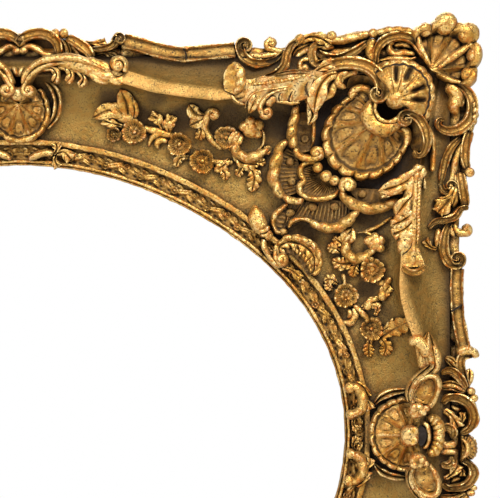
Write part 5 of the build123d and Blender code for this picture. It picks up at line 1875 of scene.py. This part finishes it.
@dataclass
class EdgeMouldings(SideOrnament):
    """The reeded rails of the outer edge, with the scrolls between them and the corners."""

    node: str = "edge_moulding"
    slot: str = "gilt_moulding"
    top_run: Marks = (
        rail([(-345, 376), (-200, 415), (-80, 450), (80, 490), (262, 515)], 7.4),
        rail([(206, 506), (400, 490), (560, 475), (700, 462)], 7.4),
        Hatch([(210, 458), (236, 500), (238, 556)], [(217, 456), (246, 500), (248, 556)], 1, 43.8, 0, 3, -3),
        # Matt ribbed ground, toned dark as painted shade under the rail and behind the scrolls.
        Hatch([(690, 480), (780, 505), (960, 520), (1100, 500), (1230, 430), (1400, 385), (1568, 440)],
            [(690, 610), (780, 620), (960, 640), (1100, 650), (1230, 650), (1400, 640), (1568, 620)], 9, 26,
            tone=-1.2),
        Stroke([(1135, 488), (1050, 558), (930, 588), (830, 570), (765, 515), (735, 445)], 4.6, 35, 7.5,
            (0.5, 0.6), 12, CHANNEL, eye=(780, 425, 180, -1.25, 4.6)),
        Stroke([(800, 505), (940, 525), (1110, 490)], 3.6, 35, 6),
        Stroke([(1150, 482), (1065, 466), (1000, 446), (984, 402), (1014, 372)], 3.3, 36, 6, (0.7, 0.6),
            eye=(1028, 400, 110, -1, 2.2)),
        Stroke([(960, 715), (1070, 685), (1145, 610), (1172, 500), (1215, 420), (1290, 375)], 4.2, 39, 7,
            (0.5, 0.7), 13, CHANNEL),
        Stroke([(1235, 580), (1290, 500), (1380, 455), (1470, 430)], 7, 33, 5, (0.6, 0.7), 10, TRIPLE),
        Frond([(1290, 385), (1390, 345), (1490, 365), (1590, 430)], 6, 39, 3, 6, 12, 0.4, 0.7, 1),
        Knob(1292, 362, 4.6, 42), Knob(1288, 412, 3.6, 33, tone=-1),
        Stroke([(1510, 425), (1430, 430), (1400, 510), (1440, 590), (1520, 560)], 4.2, 38, 7, (0.6, 0.6), 12,
            RIM),
        Stroke([(1400, 545), (1310, 555), (1285, 620), (1310, 655)], 2.6, 36, 5, (0.7, 0.6),
            eye=(1332, 635, 215, 1, 3)),
        Stroke([(1130, 520), (1130, 590), (1060, 680)], 3, 34, 4),
    )
    top_end: Marks = (
        # Matt ribbed ground, toned dark as painted shade behind the scrolls.
        Hatch([(-20, 440), (100, 370), (220, 350), (450, 305), (620, 285), (760, 285), (900, 420)],
            [(-20, 570), (100, 570), (220, 570), (450, 570), (620, 570), (760, 580), (900, 600)], 9, 26,
            tone=-1.2),
        Knob(100, 318, 4.8, 39),
        Stroke([(60, 380), (110, 360), (210, 345), (330, 315), (450, 295)], 4.4, ends=(0.6, 0.8)),
        Stroke([(-60, 420), (20, 490), (130, 515), (250, 480), (340, 425), (420, 365)], 4.6, 36, 7,
            (0.6, 0.6), 10, CHANNEL),
        Stroke([(-40, 400), (40, 415), (120, 410)], 3, 35, 5), Knob(455, 295, 4.6, 41),
        Stroke([(460, 330), (440, 400), (432, 470), (455, 550)], 4.6, 38, 7, (0.8, 0.6), ruffle=(3, 0.12)),
        Stroke([(482, 570), (484, 470), (525, 385), (610, 330), (710, 318), (800, 345), (860, 420),
            (920, 520)], 4.6, 37, 7.5, (0.7, 0.6), 12, CHANNEL),
        Stroke([(480, 295), (560, 275), (640, 262), (720, 268), (820, 290)], 4, 38, ends=(0.7, 0.7),
            ruffle=(4, 0.24)),
        Stroke([(830, 480), (740, 460), (655, 472), (605, 435), (605, 385), (650, 365)], 3.6, 35, 6,
            (0.8, 0.6)),
        Stroke([(500, 535), (640, 515), (770, 520), (840, 500)], 2.6, 37, 5),
        Stroke([(640, 400), (720, 385), (800, 420)], 3, 33, 4.5),
        Stroke([(360, 520), (420, 470), (470, 400)], 3.4, 34, 5, section=TRIPLE),
    )
    right_end: Marks = (
        # Matt ribbed ground, toned dark as painted shade behind the scrolls.
        Hatch([(1090, 720), (1220, 750), (1300, 830), (1325, 940), (1300, 1050), (1275, 1150), (1262, 1300),
            (1290, 1570)], [(1000, 700), (1010, 760), (1010, 840), (1010, 940), (1010, 1040), (1010, 1140),
            (1010, 1300), (1020, 1570)], 12, 26, tone=-0.9),
        Stroke([(1120, 725), (1215, 745), (1300, 830), (1325, 940), (1295, 1050), (1215, 1125), (1110, 1145),
            (1030, 1105), (1035, 1050), (1080, 1050)], 5.4, 37, 8, (0.6, 0.5), 12, CHANNEL),
        Stroke([(1335, 880), (1348, 970), (1335, 1060), (1300, 1150)], 3.4, 38, 6, (0.7, 0.7),
            ruffle=(5, 0.3)),
        Stroke([(1085, 765), (1150, 775), (1195, 845), (1165, 930), (1190, 1005)], 7.2, 36, 8, (0.8, 0.5),
            12),
        Stroke([(1215, 800), (1248, 870), (1228, 940)], 2.6, 35, 5),
        Stroke([(1300, 1130), (1265, 1270), (1262, 1390), (1285, 1480)], 4.8, 37, 7, (0.8, 0.7), 10,
            CHANNEL),
        Knob(1300, 1505, 4.8, 40),
        Stroke([(1230, 1190), (1140, 1290), (1085, 1410), (1050, 1590)], 4.2, 36, 7, (0.6, 0.7), 10,
            CHANNEL),
        Stroke([(1260, 1210), (1195, 1340), (1160, 1470), (1140, 1600)], 3.8, 35, ends=(0.6, 0.8)),
    )
    right_run: Marks = (
        Stroke([(1215, -70), (1232, 40), (1250, 140), (1268, 245)], 5, 37, 7, (0.8, 0.7), 10, CHANNEL),
        Stroke([(1175, -60), (1190, 60), (1185, 160), (1150, 250)], 3.8, 35, 6, (0.7, 0.5)),
        Stroke([(1060, -30), (1050, 40), (1080, 100), (1150, 90)], 3.4, 36, 6, (0.6, 0.6), 10, CHANNEL,
            eye=(1135, 55, -60, 1, 4)),
        Frond([(1175, 60), (1120, 170), (1015, 290)], 8, 42, 3),
        Frond([(1150, 120), (1080, 170), (1005, 210)], 5.4, 42, drop=9),
        Stroke([(1295, 240), (1225, 255), (1170, 320), (1090, 350), (1000, 365), (935, 425)], 3.6, 39, 6.5,
            (0.7, 0.5), 13, CHANNEL),
        Stroke([(1150, 340), (1095, 440), (1072, 560), (1085, 660), (1130, 722), (1190, 738)], 5, 36, 7.5,
            (0.6, 0.6), 12, CHANNEL, eye=(1190, 690, -85, 1.25, 4.6)),
        Stroke([(1160, 360), (1180, 425), (1225, 458), (1275, 455)], 4, 37, ends=(0.7, 0.6),
            eye=(1272, 432, -80, 1, 2.4)),
        Stroke([(1140, 390), (1150, 460), (1165, 500)], 3, 36, 5),
        Frond([(1020, 600), (960, 585), (905, 525)], 4.6, 2, drop=9, bed=True),
        Stroke([(1030, 420), (1015, 510), (1010, 590)], 3, 2, 5, bed=True),
        rail([(1192, 760), (1186, 880), (1186, 980), (1193, 1128)], 6.4),
        rail([(1188, 1084), (1206, 1230), (1228, 1350), (1256, 1480)], 6.2),
        Hatch([(1136, 1136), (1180, 1114), (1226, 1080)], [(1138, 1145), (1184, 1123), (1230, 1089)], 1,
            43.8, 0, 3, -3),
        # Matt ribbed ground, toned dark as painted shade beside the rail and behind the scrolls.
        Hatch([(1215, -60), (1250, 140), (1255, 235), (1180, 300), (1130, 420), (1115, 560), (1150, 700),
            (1180, 900), (1190, 1100), (1250, 1480)], [(1010, -60), (1010, 60), (1010, 160), (1010, 280),
            (1020, 420), (1030, 560), (1040, 700), (1080, 900), (1080, 1100), (1080, 1480)], 9, 26,
            tone=-1.4),
    )

    def top_sheets(self) -> Sheets:
        """The sheets of the top edge, to the right of its middle."""
        strip = plinth(((90, 350, 30), (220, 349, 30), (352, 350, 30)), 5.5, 7.0, 4.0)
        return [strip, *carve_all(TOP_EDGE, self.top_run), *carve_all(CORNER, self.top_end)]

    def right_sheets(self) -> Sheets:
        """The sheets of the right edge, above its middle."""
        strip = plinth(((399, 84, 30), (397.5, 190, 30), (399, 330, 30)), 5.5, 7.0, 4.0)
        return [strip, *carve_all(CORNER, self.right_end), *carve_all(RIGHT_EDGE, self.right_run)]


@dataclass
class CentreCartouches(SideOrnament):
    """The shell at the middle of each side, with its crescent and two leafy arms."""

    node: str = "centre_cartouche"
    top_shell: Shell = Shell(
        (0, 301.6), 270, 128, (25.5, 10.5), 7,
        ((0, 51), (0.2, 50), (0.5, 46), (0.75, 42), (0.86, 41), (0.97, 41), (1, 36)), 2, 27.5, 4, 0.92,
        0.065, 13, 0.04, 1.3, -1.6,
    )
    side_shell: Shell = Shell(
        (356.2, 1), 180, 104, (33.5, 3.5), 6,
        ((0, 51), (0.25, 50), (0.5, 47), (0.75, 43), (0.86, 41.5), (0.97, 41.5), (1, 36)), 2.4, 27.5, 3.6,
        0.93, 0.055, 12, 0.03, 1.5, -1.8,
    )
    top_marks: Marks = (
        Stroke([(410, 730), (500, 830), (533, 950), (510, 1080), (430, 1190)], 4.4, 33, 6.5, (0.6, 0.4), 10,
            REEDS),
        Stroke([(1000, 668), (870, 612), (760, 572), (620, 553), (470, 565), (345, 618), (262, 700),
            (228, 800)], 3.8, 60, 7, (0.6, 0.6), 24),
        Stroke([(640, 610), (560, 605), (460, 620), (355, 668), (278, 755), (236, 840)], 3, 58, 6.5,
            (0.6, 0.8), 22, eye=(285, 848, 175, 1.3, 5)),
        Frond([(400, 650), (490, 645), (540, 705), (505, 785)], 4.2, 56, 2, 5, 20, 0.3, 0.8, 0.9),
        Frond([(540, 620), (640, 645), (672, 715), (622, 785)], 4.2, 56, 2, 5, 20, 0.3, 0.8, 0.9),
        Frond([(640, 625), (740, 670), (785, 745), (740, 822)], 4.4, 56, 2, 5, 20, 0.3, 0.8, 0.9),
        Stroke([(430, 592), (560, 576), (700, 594), (830, 642), (950, 695), (1085, 735)], 7.8, 56, 7,
            (0.4, 0.8), 24),
        Frond([(560, 560), (720, 590), (860, 650), (990, 700), (1100, 725), (1165, 690)], 10.5, 57, 3, 6.5,
            20, 0.4, 0.7, 0.9),
        Frond([(830, 640), (880, 700), (940, 760)], 4.6, 55, 3, 4.5, 18),
        Stroke([(740, 582), (860, 616), (960, 650), (1050, 690)], 7, 57.5, 6, (0.5, 0.8), 22),
        Knob(200, 880, 6.8, 53, 0.9),
        Stroke([(1165, 690), (1172, 630)], 3, 61, 5.5, (0.8, 0.6), 24, eye=(1105, 615, 10, 1.25, 6.6)),
        Knob(1105, 615, 4.4, 63.5, 0.7, 0.35),
        Stroke([(190, 720), (215, 660), (240, 620)], 3, 52, 5, drop=16),
    )
    right_marks: Marks = (
        Knob(768, 890, 8.8, 53.5, 0.95), Knob(796, 862, 4.6, 58.5, 0.9, 0.3),
        Stroke([(470, 650), (530, 585), (630, 540), (760, 525)], 4, 34, 6.5, (0.4, 0.6), 10, REEDS),
        Knob(830, 690, 7.6, 59, 0.9, 0.3), Knob(800, 660, 3.6, 64), Knob(872, 700, 3.6, 64),
        Knob(905, 668, 3, 62),
        Stroke([(800, 640), (776, 560), (800, 480), (862, 415), (940, 385), (1000, 415), (1012, 500),
            (982, 590), (930, 665)], 3, 57, 7, (0.8, 0.7), 20),
        Hatch([(800, 610), (800, 510), (880, 420)], [(940, 640), (1000, 540), (990, 430)], 2, 54, 0.15, 14,
            -0.6),
        Stroke([(775, 620), (770, 530), (820, 430), (895, 365), (955, 310), (965, 250)], 4.6, 59, 6.5,
            (0.7, 0.9), 18, TRIPLE),
        Stroke([(945, 372), (938, 300), (918, 215), (905, 130)], 9.6, 54, 6.5, (0.55, 0.7), 16),
        Stroke([(955, 372), (950, 250), (928, 140), (930, 12)], 8.4, 56.5, 7, (0.7, 0.35), 16, TRIPLE),
        Stroke([(925, 235), (888, 145), (825, 88), (762, 122)], 6.4, 58, 7, (0.9, 0.65), 16),
        Stroke([(962, 380), (1003, 300), (1003, 215), (962, 120)], 3.4, 58.5, 5, drop=16),
        Hatch([(790, 730), (930, 745), (1000, 800), (1015, 906)], [(780, 800), (790, 830), (795, 870),
            (798, 906)], 3, 47, 0.3, 14, -0.35),
        # A black sheet in the deep gap beside the middle: painted shade.
        Hatch([(862, 816), (893, 838), (910, 872), (914, 906)], [(852, 824), (847, 850), (845, 875),
            (844, 906)], 2, 56.5, 0.1, 6, -3),
        Stroke([(930, 738), (985, 775), (1014, 835), (1022, 906), (1020, 950)], 5.8, 52, 7.5, (0.6, 1), 22,
            ruffle=(5, 0.18)),
        Stroke([(885, 790), (925, 830), (938, 906), (936, 940)], 2.2, 53, 4.5, (0.7, 1), 18),
    )

    def top_sheets(self) -> Sheets:
        """The sheets of the top cartouche, to the right of its middle."""
        face, _, side = self.top_shell.sheets()
        return burnish_and_shade([face[len(face) // 2 :], side, *carve_all(TOP_MIDDLE, self.top_marks)], 0.15)

    def right_sheets(self) -> Sheets:
        """The sheets of the right cartouche, above its middle.

        Returns:
            The closed sheets.
        """
        face, side, _ = self.side_shell.sheets()
        half = face[: len(face) // 2 + 1].copy()
        half[-1, :, 1] = 0.0
        return burnish_and_shade([half, side, *carve_all(RIGHT_MIDDLE, self.right_marks)], 0.28)


@dataclass
class CentreCrests(SideOrnament):
    """The scrolled crest on the outer edge at the middle of each side."""

    node: str = "centre_crest"
    fan_level: float = -13.0
    lower_share: float = 0.78
    top_marks: Marks = (
        Stroke([(160, 430), (195, 370), (280, 322), (380, 310), (470, 338), (530, 410), (548, 510)], 5.2, 35,
            8, (0.8, 0.7), 11, CHANNEL),
        Stroke([(190, 455), (270, 425), (340, 455), (410, 505), (510, 512)], 3.6, 32, 6, (0.8, 0.6)),
        Knob(512, 308, 4.4), Knob(592, 308, 4.4),
        Stroke([(560, 360), (610, 440), (622, 540)], 4.6, 33, 6, (0.7, 0.7), 10, TRIPLE),
        Stroke([(610, 345), (700, 388), (790, 452), (855, 545)], 5.4, 35, 7, (0.7, 0.7), 11, CHANNEL),
        Stroke([(640, 400), (700, 470), (735, 545)], 3, 31, 5, (0.7, 0.7)),
        Frond([(780, 385), (880, 402), (975, 380)], 4, 35, 2, 4.5, 9),
        Stroke([(840, 450), (930, 455), (1020, 430), (1062, 390), (1060, 350)], 3.8, 35, 6.5, (0.6, 0.8), 11,
            CHANNEL, eye=(1106, 362, 180, -1.1, 3.4)),
        Stroke([(870, 510), (960, 490), (1025, 570)], 3.6, 31, 5, (0.6, 0.6), 10, TRIPLE),
        Stroke([(970, 480), (1055, 495), (1105, 575)], 3.4, 31, 5, (0.6, 0.6), 10, TRIPLE),
        Knob(215, 470, 4.2, 34), Knob(192, 350, 4.4, 36),
        # Ribbed ground behind the crest's scrolls, toned dark as painted shade of the openings.
        Hatch([(184, 370), (280, 335), (380, 325), (480, 335), (590, 312), (700, 382), (850, 416),
            (1020, 432), (1120, 375), (1190, 360)], [(184, 600), (280, 600), (380, 600), (480, 600),
            (590, 600), (700, 600), (850, 600), (1020, 600), (1120, 580), (1190, 560)], 9, 25.5, tone=-1.5),
    )
    right_marks: Marks = (
        # Ribbed ground behind the crest's scrolls, toned dark as painted shade of the openings.
        Hatch([(1200, 190), (1210, 300), (1262, 420), (1306, 525), (1312, 600), (1326, 660), (1340, 760),
            (1310, 850), (1230, 930), (1250, 1028)], [(1080, 190), (1060, 300), (1040, 420), (1030, 520),
            (1030, 600), (1030, 660), (1030, 760), (1030, 850), (1030, 930), (1030, 1028)], 12, 25.5,
            tone=-1.5),
        Stroke([(1060, 640), (1110, 590), (1210, 590), (1300, 650), (1338, 750), (1310, 845), (1220, 905)],
            4.8, 36, 8, (0.7, 0.6), 11, CHANNEL),
        Frond([(1075, 690), (1145, 750), (1200, 850)], 7, 40, drop=9),
        Frond([(1190, 840), (1235, 790), (1240, 720)], 3.8, 36, 2, 4, 9),
        Stroke([(1230, 690), (1170, 680), (1130, 640)], 2.6, 32, 5), Knob(1310, 535, 4.2),
        Knob(1332, 592, 4), Knob(1286, 572, 3.6, 33, tone=-1.2),
        Stroke([(1035, 490), (1150, 482), (1265, 535)], 4.8, 39, 6, (0.7, 0.6), 10, TRIPLE),
        Stroke([(1045, 375), (1130, 352), (1210, 412), (1275, 510)], 4.2, 39, 6.5, (0.6, 0.7), 10, CHANNEL),
        Stroke([(1278, 505), (1242, 400), (1220, 300), (1232, 235), (1290, 215), (1335, 232)], 4.6, 36, 7,
            (0.7, 0.8), 11, CHANNEL),
        Stroke([(1262, 372), (1266, 450), (1286, 520)], 3.8, 32, 4),
        Frond([(1280, 520), (1296, 430), (1302, 330)], 4.4, 35, 1, 5, 9, 0.1, 0.5, 0.75),
        Stroke([(1180, 205), (1262, 172), (1338, 198)], 5.2, 37, 7, (0.8, 0.8), 11),
        Stroke([(1280, 190), (1335, 198), (1348, 248)], 4, 36, 7, (0.9, 0.9), 11),
        Stroke([(1085, 240), (1140, 275), (1190, 340)], 4, 39, 5.5, (0.5, 0.7), 10, TRIPLE),
        Stroke([(1050, 870), (1105, 840), (1155, 885), (1140, 950)], 4.2, 39, 6, (0.7, 0.5), 10, CHANNEL),
        Stroke([(1040, 985), (1100, 1000), (1190, 985)], 4, 39, 5, (0.8, 0.8)),
    )
    fan: Shell = Shell(
        RIGHT_MIDDLE.place(1235, 1030), 0, 96, (14, 1), 13,
        ((0, 40), (0.4, 42), (0.55, 41), (0.8, 40), (1, 34)), -1.6, 24, 0.6, 0.92, 0.05, 13, 0.05, 0, 0.6,
    )
    ring: Stroke = Stroke(
        [(1220, 935), (1270, 980), (1285, 1030), (1270, 1080), (1220, 1125)], 2.4, 41, 4.5, (0.6, 0.6),
    )

    def top_sheets(self) -> Sheets:
        """The sheets of the top crest, to the right of its middle."""
        strip = plinth(((-2, 349, 28), (45, 349.5, 28), (94, 350, 28)), 5.0, 5.0, 3.0)
        return burnish_and_shade([strip, *carve_all(TOP_MIDDLE, self.top_marks)], 0.15)

    def right_sheets(self) -> Sheets:
        """The sheets of the right crest, above its fan."""
        strip = plinth(((398, -13, 28), (398.5, 30, 28), (399.5, 82, 28)), 5.0, 5.0, 3.0)
        return burnish_and_shade([strip, *carve_all(RIGHT_MIDDLE, self.right_marks)], 0.12)

    def whole_right(self) -> Sheets:
        """The sheets of the whole right crest, whose fan lies a little below the middle.

        Returns:
            The closed sheets.
        """
        upper = self.right_sheets()
        lower = []
        for sheet in upper:
            below = sheet.copy()
            below[..., 1] = self.fan_level - self.lower_share * (below[..., 1] - self.fan_level)
            lower.append(below)
        return [*upper, *lower, *self.fan.sheets(), *self.ring.carve(RIGHT_MIDDLE)]


@dataclass
class SightOrnaments:
    """The ruffled leaf under every corner and the clasps beside every middle of the sight."""

    leaf_marks: Marks = (
        Frond([(640, 1085), (620, 1000), (700, 955), (810, 985), (890, 1070), (890, 1210)], 8.6, 36, 7, 6, 9,
            0.5, 0.6, 1),
        Stroke([(600, 985), (680, 925), (800, 938), (890, 990), (938, 1085), (930, 1170), (880, 1215)], 3.4,
            36.5, 6, (0.6, 0.6), 9, ruffle=(8, 0.28)),
        Stroke([(720, 1000), (790, 1050), (845, 1120), (868, 1195)], 2.6, 39.5, 4, (0.6, 0.6), 8,
            ruffle=(8, 0.4)),
        Stroke([(590, 1000), (588, 1070), (630, 1130)], 3, 38, 5.5, (0.6, 0.9),
            eye=(638, 1092, 260, 1.2, 4.6)),
        Stroke([(495, 925), (505, 1000), (545, 1075), (590, 1128), (640, 1145)], 2.8, 37, 5, (0.8, 0.6)),
        Hatch([(610, 985), (690, 930), (800, 945), (885, 1000), (930, 1090), (915, 1190)], [(655, 1060),
            (700, 1045), (760, 1085), (800, 1140), (825, 1190), (850, 1225)], 7, 36.5, 0.9, 8),
        Stroke([(425, 662), (438, 740), (468, 825), (508, 910)], 8, 35, 7.5, (0.3, 0.55), 9),
        Stroke([(405, 720), (425, 790), (470, 870)], 2, 38, 4, (0.4, 0.7), 9),
        Stroke([(452, 868), (500, 872), (548, 832)], 2.4, 41, 4, (0.7, 0.7), 12),
        Stroke([(468, 900), (515, 902), (560, 868)], 2.4, 40.5, 4, (0.7, 0.7), 12), Knob(535, 905, 4.6, 39),
        Frond([(640, 1150), (720, 1180), (790, 1240)], 4.6, 34.5, 3, 4, 9),
    )
    side_marks: Marks = (
        Stroke([(248, 515), (310, 500), (362, 555), (375, 635), (340, 705), (268, 738)], 5, 36, 7.5,
            (0.7, 0.8), 8, ruffle=(3, 0.12)),
        Frond([(310, 450), (375, 500), (412, 585)], 5.4, drop=8), Knob(255, 505, 5), Knob(268, 735, 4.6),
        Frond([(370, 610), (420, 630), (445, 690)], 5, 37, 2, 4, 8),
        Frond([(300, 760), (290, 820), (330, 880)], 3.6, 34, 3, 4, 6),
    )
    top_marks: Marks = (
        Stroke([(270, 735), (200, 728), (120, 750), (65, 785)], 3.2, 36, 5, (0.9, 0.7), 8),
        Frond([(260, 745), (290, 705), (285, 650)], 5.6, drop=8),
        Frond([(275, 740), (345, 725), (400, 780)], 6.6, drop=8),
        Frond([(280, 745), (275, 790), (300, 840)], 5.2, 35, 2, 4.5, 8),
    )

    def make(self) -> list[Piece]:
        """Carves the leaves and the clasps for all four quarters.

        Returns:
            The two pieces.
        """
        clasps = [*carve_all(RIGHT_MIDDLE, self.side_marks), *carve_all(TOP_COVE, self.top_marks)]
        made = []
        plans = {"sight_leaves": carve_all(SCROLLS, self.leaf_marks), "sight_clasps": clasps}
        for node, sheets in plans.items():
            whole = mirrored(mirrored(sheets, 0), 1)
            piece = Carving(f"carved_{node}", ORNAMENT_GOLD, "gilt_ornament", whole).carve()
            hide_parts(node)
            made.append(piece)
        return made


@dataclass
class BackFrame:
    """The pine back and its hardware, which keep their solids and take new finishes."""

    upright: PineFinish = PineFinish("pine_upright", 2)
    level: PineFinish = PineFinish("pine_level", 0)
    hardwood: PineFinish = PineFinish("hardwood_keys", 0, (0.22, 0.105, 0.045), (0.10, 0.042, 0.018))
    brass: MetalFinish = MetalFinish("aged_brass", (0.72, 0.47, 0.17), (0.22, 0.12, 0.04), 0.36)
    steel: MetalFinish = MetalFinish("worn_steel", (0.52, 0.51, 0.49), (0.17, 0.145, 0.125), 0.38)
    felt: FeltFinish = FeltFinish("wool_felt")

    def make(self) -> list[str]:
        """Gives every solid that stays its finish.

        Returns:
            The names of the dressed solids.
        """
        plan = {
            "back_rail_top": self.level, "back_rail_bottom": self.level,
            "back_rail_left": self.upright, "back_rail_right": self.upright,
            "mitre_keys": self.hardwood, "screws": self.steel, "hanger_plates": self.brass,
            "d_ring_left": self.steel, "d_ring_right": self.steel, "bumpers": self.felt,
        }
        for place in Corner:
            plan[f"spandrel_{place.value[0]}"] = self.level
        for side in ("top", "bottom", "left", "right"):
            plan[f"turn_button_{side}"] = self.brass
        for node, finish in plan.items():
            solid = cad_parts[node]
            solid.data.materials.clear()
            solid.data.materials.append(FinishShelf.get(finish))
        return list(plan)


@dataclass
class Studio:
    """The pale floor, the soft lights and the camera."""

    aim: Trio = (0.2109, -0.035, 0.1696)
    distance: float = 2.2
    view_width: float = 0.4585
    focus: Trio = (0.15, -0.03, 0.12)
    floor_size: float = 4.2
    floor_middle: float = -0.9
    floor_gap: float = 0.012

    def camera(self) -> None:
        """Stands the camera straight in front of the upper right quarter."""
        lens = bpy.data.cameras.new("portrait_lens")
        lens.lens = lens.sensor_width * self.distance / self.view_width
        lens.clip_start = 0.05
        stand = bpy.data.objects.new("camera_stand", lens)
        stand.location = (self.aim[0], self.aim[1] - self.distance, self.aim[2])
        stand.rotation_euler = (math.pi / 2, 0.0, 0.0)
        bpy.context.scene.collection.objects.link(stand)
        bpy.context.scene.camera = stand

    def floor(self) -> None:
        """Lays a pale floor under the frame."""
        bpy.ops.object.select_all(action="DESELECT")
        level = cad_box[0][2] - self.floor_gap
        bpy.ops.mesh.primitive_plane_add(size=self.floor_size, location=(0.0, self.floor_middle, level))
        floor = bpy.context.object
        floor.name = "studio_floor"
        bench = NodeBench("pale_floor")
        colour = bench.mix(bench.noise(3.0, 2.0), (0.74, 0.735, 0.72), (0.79, 0.785, 0.77))
        bench.surface(Base_Color=colour, Roughness=0.75)
        floor.data.materials.append(bench.material)

    def light(
        self, name: str, place: Trio, size: float, power: float, tint: Colour = (1.0, 1.0, 1.0)
    ) -> None:
        """Adds a soft lamp that points at the frame.

        Args:
            name: The lamp's name.
            place: Where it hangs.
            size: The side of its square face.
            power: Its power in watts.
            tint: Its colour.
        """
        lamp = bpy.data.lights.new(name, "AREA")
        lamp.energy = power
        lamp.size = size
        lamp.color = tint
        stand = bpy.data.objects.new(name, lamp)
        stand.location = place
        aim = np.array(self.focus) - np.array(place)
        flat = math.hypot(aim[0], aim[1])
        stand.rotation_euler = (math.atan2(flat, -aim[2]), 0.0, math.atan2(aim[1], aim[0]) - math.pi / 2)
        bpy.context.scene.collection.objects.link(stand)

    def sky(self) -> None:
        """A white backdrop that lights the frame more dimly than it looks."""
        world = bpy.data.worlds.new("studio_sky")
        bpy.context.scene.world = world
        world.use_nodes = True
        tree = world.node_tree
        soft = tree.nodes["Background"]
        soft.inputs["Color"].default_value = (0.93, 0.95, 1.0, 1.0)
        soft.inputs["Strength"].default_value = 0.45
        white = tree.nodes.new("ShaderNodeBackground")
        white.inputs["Color"].default_value = (1.0, 1.0, 1.0, 1.0)
        path = tree.nodes.new("ShaderNodeLightPath")
        mixer = tree.nodes.new("ShaderNodeMixShader")
        tree.links.new(path.outputs["Is Camera Ray"], mixer.inputs[0])
        tree.links.new(soft.outputs[0], mixer.inputs[1])
        tree.links.new(white.outputs[0], mixer.inputs[2])
        tree.links.new(mixer.outputs[0], tree.nodes["World Output"].inputs["Surface"])

    def make(self) -> None:
        """Sets up the whole studio."""
        self.camera()
        self.floor()
        self.sky()
        self.light("key_lamp", (0.75, -1.5, 1.55), 0.7, 39.0, (1.0, 0.96, 0.91))
        self.light("fill_lamp", (-1.3, -1.6, 0.5), 1.2, 15.5)
        self.light("back_lamp", (0.3, 1.8, 1.2), 1.6, 30.0)
        bpy.context.scene.view_settings.view_transform = "Standard"


def main() -> None:
    """Builds the studio and every piece in order."""
    logging.basicConfig(level=logging.INFO, format="%(message)s")
    Studio().make()
    log.info("studio is set")
    log.info("back frame: %d solids dressed", len(BackFrame().make()))
    for name, maker in (
        ("hollow mouldings", HOLLOW), ("sight moulding", SightMoulding()),
        ("edge mouldings", EdgeMouldings()), ("corner fans", CornerFan()), ("corner shells", CornerShell()),
        ("corner scrolls", CornerScrolls()), ("ridge leaves", RidgeLeaves()),
        ("flower sprays", FlowerSprays()), ("centre cartouches", CentreCartouches()),
        ("centre crests", CentreCrests()), ("sight ornaments", SightOrnaments()),
    ):
        made = maker.make()
        pieces = made if isinstance(made, list) else [made]
        faces = sum(len(piece.data.polygons) for piece in pieces)
        log.info("%s: %d pieces, %d faces", name, len(pieces), faces)


if __name__ == "__main__":
    main()
